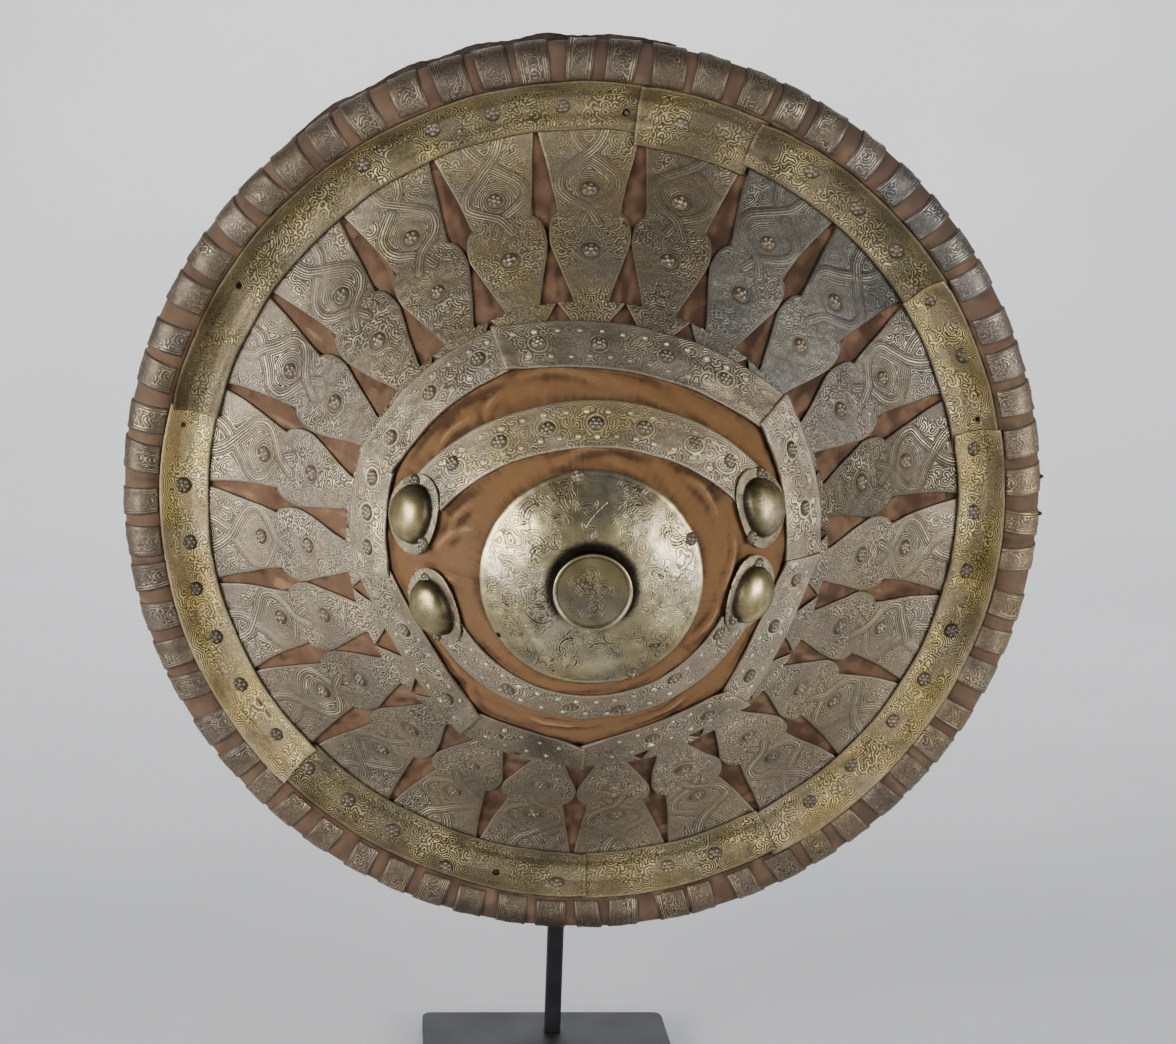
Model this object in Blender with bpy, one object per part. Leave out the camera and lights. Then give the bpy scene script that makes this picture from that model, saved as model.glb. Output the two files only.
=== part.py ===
"""Round hide shield with silver and gilt-brass plates, standing on its rod and base. Metres, +Z up.

The front of the shield faces -Y. The origin is the middle of the base plate's underside.
Radii and heights of the shield are measured in its own frame: the axis is its local Z, which
points at the viewer, and angles run clockwise from its top as the viewer sees it.
"""
import math

import bmesh
import bpy
from mathutils import Vector

# Fits
GAP = 0.0003
ROD_STANDOFF = 0.0010

# Rolled rim
RIM_RADIUS = 0.2375
RIM_HEIGHT = 0.0005
RIM_ROLL = 0.0125
RIM_START = math.radians(150)
RIM_END = math.radians(-140)

# Face of the shield: a flared cone with a rounded tip and an upturned brim
FACETS = 32
SHORTEST_FACET = 0.15
CONE_SLOPE = 1.10
BRIM_INSET = 0.0235
BRIM_RADIUS = RIM_RADIUS - BRIM_INSET
FLARE_SOFTNESS = 0.040
TIP_SOFTNESS = 0.050
BRIM_CURVE = 26.7
BRIM_WIDTH = 0.0085
FACE_END = BRIM_RADIUS + BRIM_WIDTH

# Thicknesses of the hide and of its cover
COVER_THICKNESS = 0.0012
HIDE_THICKNESS = 0.0060

# Central dish and its knob
DISH_RADIUS = 0.0541
DISH_THICKNESS = 0.0009
KNOB_RADIUS = 0.0191
KNOB_HEIGHT = 0.0070
KNOB_LIP = 0.0016
KNOB_RECESS = 0.0010
KNOB_CHAMFER = 0.0005
KNOB_SIDES = 24

# Where the sections have their rings, as shares of the dish, of the flank and of the hollow
TIP_RINGS = (1 / 3, 2 / 3, 1.0)
FLANK_RINGS = (0.2875, 0.475, 0.63, 0.7375, 0.8375, 0.925, 1.0)
HOLLOW_RINGS = (0.958, 0.841, 0.701, 0.514, 0.374, 0.257, 0.140, 0.0)

# Outer gilt band
BAND_INSET = 0.0079
BAND_WIDTH = 0.0264
PATCH_WIDTH = 0.0067
BAND_OUTER = RIM_RADIUS - BAND_INSET
BAND_INNER = BAND_OUTER - BAND_WIDTH
PATCH_INNER = BAND_INNER - PATCH_WIDTH
BAND_THICKNESS = 0.0010
BAND_LIFT = 0.0026
BAND_SEAT = 0.0006
BAND_LAP = 0.0048
BAND_JOINTS = (6.2, 22.8, 55.5, 77.7, 150.1, 178.5, 225.8, 283.2)

# Radial plates
PLATE_COUNT = 23
PLATE_FIRST_ANGLE = math.radians(-0.8)
PLATE_CROWDING = math.radians(1.4)
PLATE_CROWDING_PHASE = math.radians(25)
PLATE_OUTER = BAND_INNER + BAND_LAP
PLATE_INNER = 0.1080
PLATE_LIFT = 0.0009
PLATE_THICKNESS = 0.0008
PLATE_NECK = 0.1636
PLATE_SHOULDER = 0.1510
PLATE_ANKLE = 0.1255
PLATE_TAIL_TIP = 0.1236
SIDE_CLEARANCE = 0.0004

# Outline of a radial plate: share of the way along each stretch, and width as a share of its room
FLARE_WIDTHS = ((0.0, 0.985), (0.20, 0.985), (0.40, 0.97), (0.62, 0.89))
BULGE_WIDTHS = ((0.0, 0.70), (0.09, 0.84), (0.45, 0.96))
TAPER_WIDTHS = ((0.0, 1.0), (0.18, 0.97), (1.0, 0.535))
TAIL_WIDTHS = ((0.0, 1.0), (1.0, 0.22))

# Eight-cornered inner band: angle and radius of each corner, then the sag of the piece after it
INNER_BAND_HALF_WIDTH = 0.0094
INNER_BAND_CORNERS = (
    (336.0, 0.1102, 0.0080),
    (52.0, 0.1150, 0.0010),
    (92.0, 0.1080, 0.0080),
    (135.5, 0.1108, 0.0080),
    (180.5, 0.1140, 0.0042),
    (212.0, 0.1118, 0.0100),
    (263.0, 0.1090, 0.0000),
    (292.0, 0.1140, 0.0010),
)

# Two arched bands round the dish; their end angles run on past 360 at the top
ARCH_LIFT = 0.0006
ARCH_THICKNESS = 0.0009
UPPER_ARCH_ENDS = (289.0, 424.0)
UPPER_ARCH_CREST = 0.0725
UPPER_ARCH_END_RADIUS = 0.0880
UPPER_ARCH_HALF_WIDTH = 0.0098
LOWER_ARCH_ENDS = (108.0, 246.0)
LOWER_ARCH_CREST = 0.0715
LOWER_ARCH_END_RADIUS = 0.0775
LOWER_ARCH_HALF_WIDTH = 0.0088

# Four small oval bosses: name, angle, radius, turn of the long axis against the circle
SMALL_BOSSES = (
    ("small_boss_upper_left", 283.5, 0.0895, 6.0),
    ("small_boss_upper_right", 70.3, 0.0882, -2.0),
    ("small_boss_lower_right", 98.8, 0.0800, -9.0),
    ("small_boss_lower_left", 253.0, 0.0790, 4.0),
)
FLANGE_LENGTH = 0.0400
FLANGE_WIDTH = 0.0350
FLANGE_THICKNESS = 0.0009
FLANGE_CLEARANCE = 0.0010
DOME_LENGTH = 0.0290
DOME_WIDTH = 0.0270
DOME_HEIGHT = 0.0090
BOSS_SIDES = 16

# Grip across the hollow back
GRIP_STANDOFF = 0.0010
GRIP_TO_TIP = 0.0714
GRIP_HALF_WIDTH = 0.0150
GRIP_THICKNESS = 0.0070
GRIP_TAB_RADII = (0.0800, 0.1000)
GRIP_BOW = 0.0040

# Stand
LEAN = math.radians(6.36)
SHIELD_OFFSET_X = 0.0065
SHIELD_Y = 0.0220
RIM_CLEARANCE = 0.0714
BAR = 0.0095
BAR_CHAMFER = 0.0008
BAR_BEND = 0.0140
HOOK_CLEARANCE = 0.0010
HOOK_HEIGHT = 0.0200
BASE_WIDTH = 0.1440
BASE_DEPTH = 0.1900
BASE_THICKNESS = 0.0080
BASE_CORNER = 0.0050
BASE_CHAMFER = 0.0008
BASE_TURN = math.radians(3.4)

# Colours from the photograph, linear
VELVET = (0.27, 0.105, 0.040)
HIDE = (0.035, 0.026, 0.020)
SILVER = (0.33, 0.31, 0.26)
GILT = (0.38, 0.31, 0.15)
DARK_STEEL = (0.012, 0.012, 0.013)
LEATHER = (0.060, 0.032, 0.018)


def clear_scene():
    """Remove every object that the file opened with."""
    for old in list(bpy.data.objects):
        bpy.data.objects.remove(old, do_unlink=True)


def material(name, colour, roughness, metallic):
    """A Principled material of one plain colour."""
    mat = bpy.data.materials.new(name)
    mat.use_nodes = True
    shader = mat.node_tree.nodes["Principled BSDF"]
    shader.inputs["Base Color"].default_value = (*colour, 1.0)
    shader.inputs["Roughness"].default_value = roughness
    shader.inputs["Metallic"].default_value = metallic
    return mat


def face_height(radius):
    """Height of the cover's front above the rim's plane."""
    if radius > BRIM_RADIUS:
        return BRIM_CURVE * (radius - BRIM_RADIUS) ** 2
    flare = FLARE_SOFTNESS * math.log(math.cosh((BRIM_RADIUS - radius) / FLARE_SOFTNESS))
    tip = TIP_SOFTNESS * math.sqrt(math.pi) / 2 * (1 - math.erf(radius / TIP_SOFTNESS))
    return CONE_SLOPE * (flare - tip)


def face_fall(radius):
    """How steeply the face falls outward at a radius."""
    step = 0.0002
    low = max(radius - step, 0.0)
    return (face_height(low) - face_height(radius + step)) / (radius + step - low)


def rim_point(turn, lift):
    """Radius and height of a point on the rolled rim, lifted off it."""
    roll = RIM_ROLL + lift
    return RIM_RADIUS + roll * math.cos(turn), RIM_HEIGHT + roll * math.sin(turn)


def face_point(radius, lift):
    """Radius and height of a point lifted off the cover's front, square to it."""
    ramp_end = RIM_RADIUS + RIM_ROLL * math.cos(RIM_START)
    if radius >= ramp_end:
        return rim_point(math.acos((radius - RIM_RADIUS) / RIM_ROLL), lift)
    if radius > FACE_END:
        share = (radius - FACE_END) / (ramp_end - FACE_END)
        low = face_point(FACE_END, lift)
        high = rim_point(RIM_START, lift)
        return tuple(a + share * (b - a) for a, b in zip(low, high))
    fall = face_fall(radius) if radius > 0 else 0.0
    length = math.hypot(1.0, fall)
    return radius + lift * fall / length, face_height(radius) + lift / length


def at(radius, angle, height):
    """Point in the shield's own frame; the angle runs clockwise from its top."""
    return Vector((radius * math.sin(angle), radius * math.cos(angle), height))


def on_face(radius, angle, lift):
    """Point lifted off the cover's front."""
    out, height = face_point(radius, lift)
    return at(out, angle, height)


def build_object(name, mesh_maker, mat, parent=None):
    """Closed mesh made by a function that fills a bmesh, with its faces pointing out."""
    bm = bmesh.new()
    mesh_maker(bm)
    bmesh.ops.recalc_face_normals(bm, faces=bm.faces)
    mesh = bpy.data.meshes.new(name)
    bm.to_mesh(mesh)
    bm.free()
    mesh.shade_smooth()
    mesh.set_sharp_from_angle(angle=math.radians(35))
    mesh.materials.append(mat)
    obj = bpy.data.objects.new(name, mesh)
    bpy.context.scene.collection.objects.link(obj)
    obj.parent = parent
    return obj


def turn_profile(bm, profile, sides):
    """Body of revolution from a closed profile of radius and height; radius 0 is on the axis."""
    rings = []
    for radius, height in profile:
        if radius <= 0:
            rings.append([bm.verts.new((0, 0, height))])
            continue
        ring = []
        for k in range(sides):
            ring.append(bm.verts.new(at(radius, 2 * math.pi * k / sides, height)))
        rings.append(ring)
    closed = len(rings[0]) > 1
    pairs = list(zip(rings, rings[1:]))
    if closed:
        pairs.append((rings[-1], rings[0]))
    for first, second in pairs:
        for k in range(sides):
            after = (k + 1) % sides
            corners = [first[k % len(first)], first[after % len(first)]]
            corners += [second[after % len(second)], second[k % len(second)]]
            unique = list(dict.fromkeys(corners))
            if len(unique) > 2:
                bm.faces.new(unique)


def sheet(bm, top, bottom):
    """Closed sheet between two grids of points of the same shape."""
    rows, columns = len(top), len(top[0])
    upper = [[bm.verts.new(p) for p in row] for row in top]
    lower = [[bm.verts.new(p) for p in row] for row in bottom]
    for i in range(rows - 1):
        for j in range(columns - 1):
            for grid in (upper, lower):
                bm.faces.new((grid[i][j], grid[i][j + 1], grid[i + 1][j + 1], grid[i + 1][j]))
        for j in (0, columns - 1):
            bm.faces.new((upper[i][j], upper[i + 1][j], lower[i + 1][j], lower[i][j]))
    for i in (0, rows - 1):
        for j in range(columns - 1):
            bm.faces.new((upper[i][j], upper[i][j + 1], lower[i][j + 1], lower[i][j]))


def face_line(lift):
    """Profile of the face from its tip to the brim, lifted off the cover's front."""
    radii = [0.0]
    radii += [share * DISH_RADIUS for share in TIP_RINGS]
    radii += [DISH_RADIUS + share * (BRIM_RADIUS - DISH_RADIUS) for share in FLANK_RINGS]
    return [face_point(r, lift) for r in (*radii, FACE_END)]


def rim_line(lift, steps, end):
    """Profile round the rolled rim, from the brim over the outside to the back."""
    return [rim_point(RIM_START + (end - RIM_START) * k / steps, lift) for k in range(steps + 1)]


def hide_profile():
    """Section of the hide: its front, the rolled rim and its hollow back."""
    front = -(COVER_THICKNESS + GAP)
    back = front - HIDE_THICKNESS
    hollow = [face_point(share * BRIM_RADIUS, back) for share in HOLLOW_RINGS]
    return face_line(front) + rim_line(front, 4, RIM_END) + hollow


def cover_profile():
    """Section of the cover, which follows the face and wraps the rolled rim."""
    back = face_line(-COVER_THICKNESS) + rim_line(-COVER_THICKNESS, 4, RIM_END)
    return face_line(0.0) + rim_line(0.0, 6, RIM_END) + back[::-1]


def plate_angles():
    """Middle of each radial plate; they crowd together a little on one side."""
    angles = []
    for k in range(PLATE_COUNT):
        even = PLATE_FIRST_ANGLE + 2 * math.pi * k / PLATE_COUNT
        angles.append(even + PLATE_CROWDING * math.sin(even - PLATE_CROWDING_PHASE))
    return angles


def plate_rows():
    """Outline of a radial plate: radius and width as a share of the space it has there."""
    stretches = (
        (PLATE_OUTER, PLATE_NECK, FLARE_WIDTHS),
        (PLATE_NECK, PLATE_SHOULDER, BULGE_WIDTHS),
        (PLATE_SHOULDER, PLATE_ANKLE, TAPER_WIDTHS),
        (PLATE_TAIL_TIP, PLATE_INNER, TAIL_WIDTHS),
    )
    rows = []
    for start, end, widths in stretches:
        rows += [(start + share * (end - start), width) for share, width in widths]
    return rows


def radial_plate(bm, middle, room):
    """One baluster-shaped plate bent to the face."""
    top, bottom = [], []
    for radius, width in plate_rows():
        half = width * (room / 2 - SIDE_CLEARANCE / radius / 2)
        angles = (middle - half, middle, middle + half)
        top.append([on_face(radius, a, PLATE_LIFT + PLATE_THICKNESS) for a in angles])
        bottom.append([on_face(radius, a, PLATE_LIFT) for a in angles])
    sheet(bm, top, bottom)


def facet_angles(start, end):
    """Angles from start to end, stopping at every facet's edge that isn't too near an end."""
    pitch = 2 * math.pi / FACETS
    angles = [start]
    k = math.floor(start / pitch + SHORTEST_FACET) + 1
    while k * pitch < end - SHORTEST_FACET * pitch:
        angles.append(k * pitch)
        k += 1
    return angles + [end]


def facet_factor(angle):
    """How far inside its circle a flat facet lies at this angle, as a share of the radius."""
    pitch = 2 * math.pi / FACETS
    return math.cos(pitch / 2) / math.cos(angle % pitch - pitch / 2)


def outer_band_piece(bm, start, end, inner):
    """Length of the gilt band: it rides over the plates' ends and laps on to the rim's roll."""
    stations = (
        (inner, BAND_LIFT),
        (PLATE_OUTER + GAP, BAND_LIFT),
        (BRIM_RADIUS, BAND_SEAT),
        (FACE_END, BAND_SEAT),
        (RIM_RADIUS + RIM_ROLL * math.cos(RIM_START), BAND_SEAT),
        (BAND_OUTER, BAND_SEAT),
    )
    top, bottom = [], []
    for angle in facet_angles(start, end):
        factor = Vector((facet_factor(angle), facet_factor(angle), 1.0))
        bottom.append([on_face(r, angle, lift) * factor for r, lift in stations])
        top.append([on_face(r, angle, lift + BAND_THICKNESS) * factor for r, lift in stations])
    sheet(bm, top, bottom)


def inner_band_radius(share, first, second, sag):
    """Middle radius of an inner band piece along its length."""
    return first + (second - first) * share - 4 * sag * share * (1 - share)


def inner_band_piece(bm, start, end, first, second, sag):
    """One side of the eight-cornered band over the plates' inner ends."""
    top, bottom = [], []
    for angle in facet_angles(start, end):
        middle = inner_band_radius((angle - start) / (end - start), first, second, sag)
        radii = (middle - INNER_BAND_HALF_WIDTH, middle + INNER_BAND_HALF_WIDTH)
        bottom.append([on_face(r, angle, BAND_LIFT) for r in radii])
        top.append([on_face(r, angle, BAND_LIFT + BAND_THICKNESS) for r in radii])
    sheet(bm, top, bottom)


def arch(bm, ends, crest, end_radius, half_width):
    """Arched band whose middle radius grows from its crest towards both ends."""
    start, end = (math.radians(a) for a in ends)
    middle = (start + end) / 2
    top, bottom = [], []
    for angle in facet_angles(start, end):
        share = (angle - middle) / (end - middle)
        centre = crest + (end_radius - crest) * share ** 2
        radii = (centre - half_width, centre, centre + half_width)
        bottom.append([on_face(r, angle, ARCH_LIFT) for r in radii])
        top.append([on_face(r, angle, ARCH_LIFT + ARCH_THICKNESS) for r in radii])
    sheet(bm, top, bottom)


def small_boss(bm, angle, radius, turn):
    """Oval flange with an egg-shaped dome, laid along the circle over the ends of an arch."""
    seat = ARCH_LIFT + ARCH_THICKNESS + FLANGE_CLEARANCE
    fall = math.atan(face_fall(radius))

    def spot(along, across, lift):
        """Place a point of the boss: along the circle, across it down the slope, and off it."""
        side = along * math.cos(turn) - across * math.sin(turn)
        down = along * math.sin(turn) + across * math.cos(turn)
        reach = radius + down * math.cos(fall)
        return on_face(reach, angle + side / reach, lift)

    rings = (
        (FLANGE_LENGTH, FLANGE_WIDTH, seat),
        (FLANGE_LENGTH, FLANGE_WIDTH, seat + FLANGE_THICKNESS),
        (DOME_LENGTH, DOME_WIDTH, seat + FLANGE_THICKNESS),
        (DOME_LENGTH * 0.90, DOME_WIDTH * 0.90, seat + DOME_HEIGHT * 0.55),
        (DOME_LENGTH * 0.56, DOME_WIDTH * 0.56, seat + DOME_HEIGHT * 0.87),
    )
    loops = []
    for length, width, lift in rings:
        loop = []
        for k in range(BOSS_SIDES):
            a = 2 * math.pi * k / BOSS_SIDES
            loop.append(bm.verts.new(spot(length / 2 * math.cos(a), width / 2 * math.sin(a), lift)))
        loops.append(loop)
    for lower, upper in zip(loops, loops[1:]):
        for k in range(BOSS_SIDES):
            after = (k + 1) % BOSS_SIDES
            bm.faces.new((lower[k], lower[after], upper[after], upper[k]))
    for loop, lift in ((loops[0], seat), (loops[-1], seat + DOME_HEIGHT)):
        tip = bm.verts.new(spot(0, 0, lift))
        for k in range(BOSS_SIDES):
            bm.faces.new((loop[k], loop[(k + 1) % BOSS_SIDES], tip))


def dish_profile():
    """Section of the convex dish on the tip."""
    radii = (0.0, *(share * DISH_RADIUS for share in TIP_RINGS))
    top = [face_point(r, GAP + DISH_THICKNESS) for r in radii]
    bottom = [face_point(r, GAP) for r in radii]
    return top + bottom[::-1]


def knob_profile():
    """Section of the knob: a short drum whose face lies inside a thin lip."""
    seat = face_point(0.0, 2 * GAP + DISH_THICKNESS)[1]
    crown = seat + KNOB_HEIGHT
    return (
        (0.0, crown - KNOB_RECESS),
        (KNOB_RADIUS - KNOB_LIP, crown - KNOB_RECESS),
        (KNOB_RADIUS - KNOB_LIP + KNOB_CHAMFER, crown),
        (KNOB_RADIUS - KNOB_CHAMFER, crown),
        (KNOB_RADIUS, crown - KNOB_CHAMFER),
        (KNOB_RADIUS, seat),
        (0.0, seat),
    )


def grip_height():
    """Height of the grip's middle layer where it leaves the hide, above the rim's plane."""
    return face_height(0.0) - GRIP_TO_TIP


def grip(bm):
    """Leather strap across the hollow, its two tabs laid on the hide's back."""
    back = -(COVER_THICKNESS + GAP + HIDE_THICKNESS + GRIP_STANDOFF)
    stations = []
    for radius in reversed(GRIP_TAB_RADII):
        stations.append((-radius, None))
    reach = face_point(GRIP_TAB_RADII[0], back)[0] - GRIP_THICKNESS
    for share in (-0.8, -0.4, 0.0, 0.4, 0.8):
        stations.append((share * reach, grip_height() - GRIP_BOW * (1 - share ** 2)))
    for radius in GRIP_TAB_RADII:
        stations.append((radius, None))
    top, bottom = [], []
    for along, height in stations:
        upper, lower = [], []
        for y in (-GRIP_HALF_WIDTH, 0.0, GRIP_HALF_WIDTH):
            if height is not None:
                upper.append(Vector((along, y, height + GRIP_THICKNESS / 2)))
                lower.append(Vector((along, y, height - GRIP_THICKNESS / 2)))
                continue
            for layer, lift in ((upper, back), (lower, back - GRIP_THICKNESS)):
                out, level = face_point(abs(along), lift)
                x = math.sqrt(out ** 2 - y ** 2)
                layer.append(Vector((math.copysign(x, along), y, level)))
        top.append(upper)
        bottom.append(lower)
    sheet(bm, top, bottom)


def bar_path(points, bend):
    """Centre line of a bar in the YZ plane, with round bends at its inner corners."""
    path = [Vector(points[0])]
    for before, corner, after in zip(points, points[1:], points[2:]):
        corner = Vector(corner)
        inward = (Vector(before) - corner).normalized()
        onward = (Vector(after) - corner).normalized()
        for k in range(5):
            turn = math.pi / 2 * k / 4
            path.append(corner + bend * ((1 - math.sin(turn)) * inward + (1 - math.cos(turn)) * onward))
    path.append(Vector(points[-1]))
    return path


def swept_bar(bm, path):
    """Square bar with small chamfers along a path in the YZ plane."""
    half, small = BAR / 2, BAR / 2 - BAR_CHAMFER
    section = ((half, small), (small, half), (-small, half), (-half, small),
               (-half, -small), (-small, -half), (small, -half), (half, -small))
    loops = []
    for k, point in enumerate(path):
        ahead = path[min(k + 1, len(path) - 1)] - path[max(k - 1, 0)]
        ahead.normalize()
        across = Vector((1, 0, 0))
        square = across.cross(ahead)
        loops.append([bm.verts.new(point + across * a + square * b) for a, b in section])
    for first, second in zip(loops, loops[1:]):
        for k in range(len(section)):
            after = (k + 1) % len(section)
            bm.faces.new((first[k], first[after], second[after], second[k]))
    bm.faces.new(loops[0])
    bm.faces.new(loops[-1])


def base_plate(bm):
    """Flat plate with rounded corners and a fine chamfer round its top."""
    corner_steps = 4
    loops = []
    for inset, height in ((0.0, 0.0), (0.0, BASE_THICKNESS - BASE_CHAMFER), (BASE_CHAMFER, BASE_THICKNESS)):
        loop = []
        corner = BASE_CORNER - inset
        for quarter in range(4):
            side_x = 1 if quarter in (0, 3) else -1
            side_y = 1 if quarter in (0, 1) else -1
            for k in range(corner_steps + 1):
                a = math.pi / 2 * (quarter + k / corner_steps)
                x = side_x * (BASE_WIDTH / 2 - BASE_CORNER) + corner * math.cos(a)
                y = side_y * (BASE_DEPTH / 2 - BASE_CORNER) + corner * math.sin(a)
                loop.append(bm.verts.new((x, y, height)))
        loops.append(loop)
    count = len(loops[0])
    for lower, upper in zip(loops, loops[1:]):
        for k in range(count):
            after = (k + 1) % count
            bm.faces.new((lower[k], lower[after], upper[after], upper[k]))
    bm.faces.new(loops[0])
    bm.faces.new(loops[-1])


def make_shield(frame):
    """Hide, cover, plates, bands, bosses, dish, knob and grip, in the shield's own frame."""
    hide = material("hide", HIDE, 0.75, 0.0)
    velvet = material("velvet", VELVET, 0.85, 0.0)
    silver = material("silver", SILVER, 0.45, 0.9)
    gilt = material("gilt", GILT, 0.42, 0.9)
    leather = material("leather", LEATHER, 0.65, 0.0)

    build_object("hide_shell", lambda bm: turn_profile(bm, hide_profile(), FACETS), hide, frame)
    build_object("velvet_cover", lambda bm: turn_profile(bm, cover_profile(), FACETS), velvet, frame)

    angles = plate_angles()
    for k, middle in enumerate(angles):
        before = angles[k - 1] - (2 * math.pi if k == 0 else 0)
        after = angles[(k + 1) % PLATE_COUNT] + (2 * math.pi if k == PLATE_COUNT - 1 else 0)
        room = min(middle - before, after - middle)
        build_object(f"radial_plate_{k + 1:02d}",
                     lambda bm, m=middle, w=room: radial_plate(bm, m, w), silver, frame)

    joints = [math.radians(a) for a in BAND_JOINTS]
    for k, joint in enumerate(joints):
        start = joint + GAP / BAND_INNER
        end = joints[(k + 1) % len(joints)] + (2 * math.pi if k == len(joints) - 1 else 0)
        inner = PATCH_INNER if k == 0 else BAND_INNER
        build_object(f"outer_band_{k + 1}",
                     lambda bm, s=start, e=end, i=inner: outer_band_piece(bm, s, e, i), gilt, frame)

    for k, (angle, radius, sag) in enumerate(INNER_BAND_CORNERS):
        after, next_radius = INNER_BAND_CORNERS[(k + 1) % len(INNER_BAND_CORNERS)][:2]
        start = math.radians(angle) + GAP / radius * 2
        end = math.radians(after + (360 if after < angle else 0))
        build_object(f"inner_band_{k + 1}",
                     lambda bm, s=start, e=end, a=radius, b=next_radius, c=sag:
                     inner_band_piece(bm, s, e, a, b, c), silver, frame)

    build_object("upper_arch_band",
                 lambda bm: arch(bm, UPPER_ARCH_ENDS, UPPER_ARCH_CREST, UPPER_ARCH_END_RADIUS,
                                 UPPER_ARCH_HALF_WIDTH), gilt, frame)
    build_object("lower_arch_band",
                 lambda bm: arch(bm, LOWER_ARCH_ENDS, LOWER_ARCH_CREST, LOWER_ARCH_END_RADIUS,
                                 LOWER_ARCH_HALF_WIDTH), silver, frame)
    for name, angle, radius, turn in SMALL_BOSSES:
        build_object(name, lambda bm, a=math.radians(angle), r=radius, t=math.radians(turn):
                     small_boss(bm, a, r, t), silver, frame)

    build_object("central_dish", lambda bm: turn_profile(bm, dish_profile(), FACETS), silver, frame)
    build_object("centre_knob", lambda bm: turn_profile(bm, knob_profile(), KNOB_SIDES), silver, frame)
    build_object("arm_grip", grip, leather, frame)


def make_stand(centre):
    """Base plate and the bent bar that carries the grip and backs the rim."""
    steel = material("black_steel", DARK_STEEL, 0.5, 0.6)
    rim_back = (centre.y + RIM_RADIUS * math.sin(LEAN) - RIM_HEIGHT * math.cos(LEAN)
                + RIM_ROLL + ROD_STANDOFF)
    rod_y = rim_back + BAR / 2
    grip_front = grip_height() - GRIP_BOW + GRIP_THICKNESS / 2
    grip_foot = centre.z - GRIP_HALF_WIDTH * math.cos(LEAN) - grip_front * math.sin(LEAN)
    arm_z = grip_foot - GAP - BAR / 2
    hook_y = (centre.y - GRIP_HALF_WIDTH * math.sin(LEAN) - grip_front * math.cos(LEAN)
              - HOOK_CLEARANCE - BAR_BEND)
    points = (
        (0, rod_y, BASE_THICKNESS + GAP),
        (0, rod_y, arm_z),
        (0, hook_y, arm_z),
        (0, hook_y, arm_z + BAR / 2 + HOOK_HEIGHT),
    )
    build_object("stand_rod", lambda bm: swept_bar(bm, bar_path(points, BAR_BEND)), steel)
    base = build_object("stand_base", base_plate, steel)
    base.rotation_euler = (0, 0, BASE_TURN)


def main():
    clear_scene()
    reach = RIM_RADIUS * math.cos(LEAN) + RIM_HEIGHT * math.sin(LEAN) + RIM_ROLL
    centre = Vector((SHIELD_OFFSET_X, SHIELD_Y, BASE_THICKNESS + RIM_CLEARANCE + reach))
    frame = bpy.data.objects.new("shield_frame", None)
    bpy.context.scene.collection.objects.link(frame)
    frame.location = centre
    frame.rotation_euler = (math.pi / 2 + LEAN, 0, 0)
    make_shield(frame)
    make_stand(centre)
    bpy.context.view_layer.update()


main()
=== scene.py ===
"""Looks of the hide shield: velvet, chased silver and gilt sheet, studs, rim strips and its stand."""
import math

import bmesh
import bpy
import numpy as np
from mathutils import Matrix, Vector

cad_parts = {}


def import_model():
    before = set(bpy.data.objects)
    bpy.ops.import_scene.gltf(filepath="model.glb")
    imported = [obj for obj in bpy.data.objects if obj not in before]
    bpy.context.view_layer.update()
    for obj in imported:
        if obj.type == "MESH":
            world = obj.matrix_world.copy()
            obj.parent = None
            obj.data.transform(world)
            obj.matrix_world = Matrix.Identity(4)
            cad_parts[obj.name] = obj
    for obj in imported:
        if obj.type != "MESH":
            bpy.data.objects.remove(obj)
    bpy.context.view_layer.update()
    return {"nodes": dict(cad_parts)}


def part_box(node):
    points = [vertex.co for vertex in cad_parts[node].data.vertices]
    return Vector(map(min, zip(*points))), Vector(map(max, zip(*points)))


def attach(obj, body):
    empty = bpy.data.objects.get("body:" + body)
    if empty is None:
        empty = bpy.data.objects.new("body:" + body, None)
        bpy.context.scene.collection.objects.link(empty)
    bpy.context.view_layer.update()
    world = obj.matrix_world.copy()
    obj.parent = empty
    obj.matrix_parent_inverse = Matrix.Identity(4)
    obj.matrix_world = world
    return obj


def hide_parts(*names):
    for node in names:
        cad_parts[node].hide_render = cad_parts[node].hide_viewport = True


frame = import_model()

BODY = "root"
MM = 0.001
TAU = 2 * math.pi

# The photograph's view
IMAGE_WIDTH = 1176
FOCAL_PIXELS = 2200.0
SENSOR = 36.0
CAMERA_PLACE = Vector((-0.0348, -1.1716, 0.5013))
CAMERA_AZIMUTH = math.radians(2.10)
CAMERA_ELEVATION = math.radians(8.70)
CAMERA_ROLL = math.radians(-2.03)

# The shield's own frame: its axis leans back, and angles run clockwise from its top
LEAN = math.radians(6.36)
SHIELD_Y = 0.0220
COVER_LOW, COVER_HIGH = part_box("velvet_cover")
CENTRE = np.array(((COVER_LOW.x + COVER_HIGH.x) / 2, SHIELD_Y, (COVER_LOW.z + COVER_HIGH.z) / 2))
RIGHT = np.array((1.0, 0.0, 0.0))
UPWARD = np.array((0.0, -math.sin(LEAN), math.cos(LEAN)))
FORWARD = np.array((0.0, -math.cos(LEAN), -math.sin(LEAN)))

# Section of the face and of the rolled rim, as in the solids
CONE_SLOPE = 1.10
BRIM_RADIUS = 0.214
FLARE_SOFTNESS = 0.040
TIP_SOFTNESS = 0.050
BRIM_CURVE = 26.7
FACE_END = 0.2225
RIM_RADIUS = 0.2375
RIM_HEIGHT = 0.0005
RIM_ROLL = 0.0125
RIM_START = math.radians(150)
RIM_END = math.radians(-140)
COVER_THICKNESS = 1.2 * MM
HIDE_THICKNESS = 6.0 * MM

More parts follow.
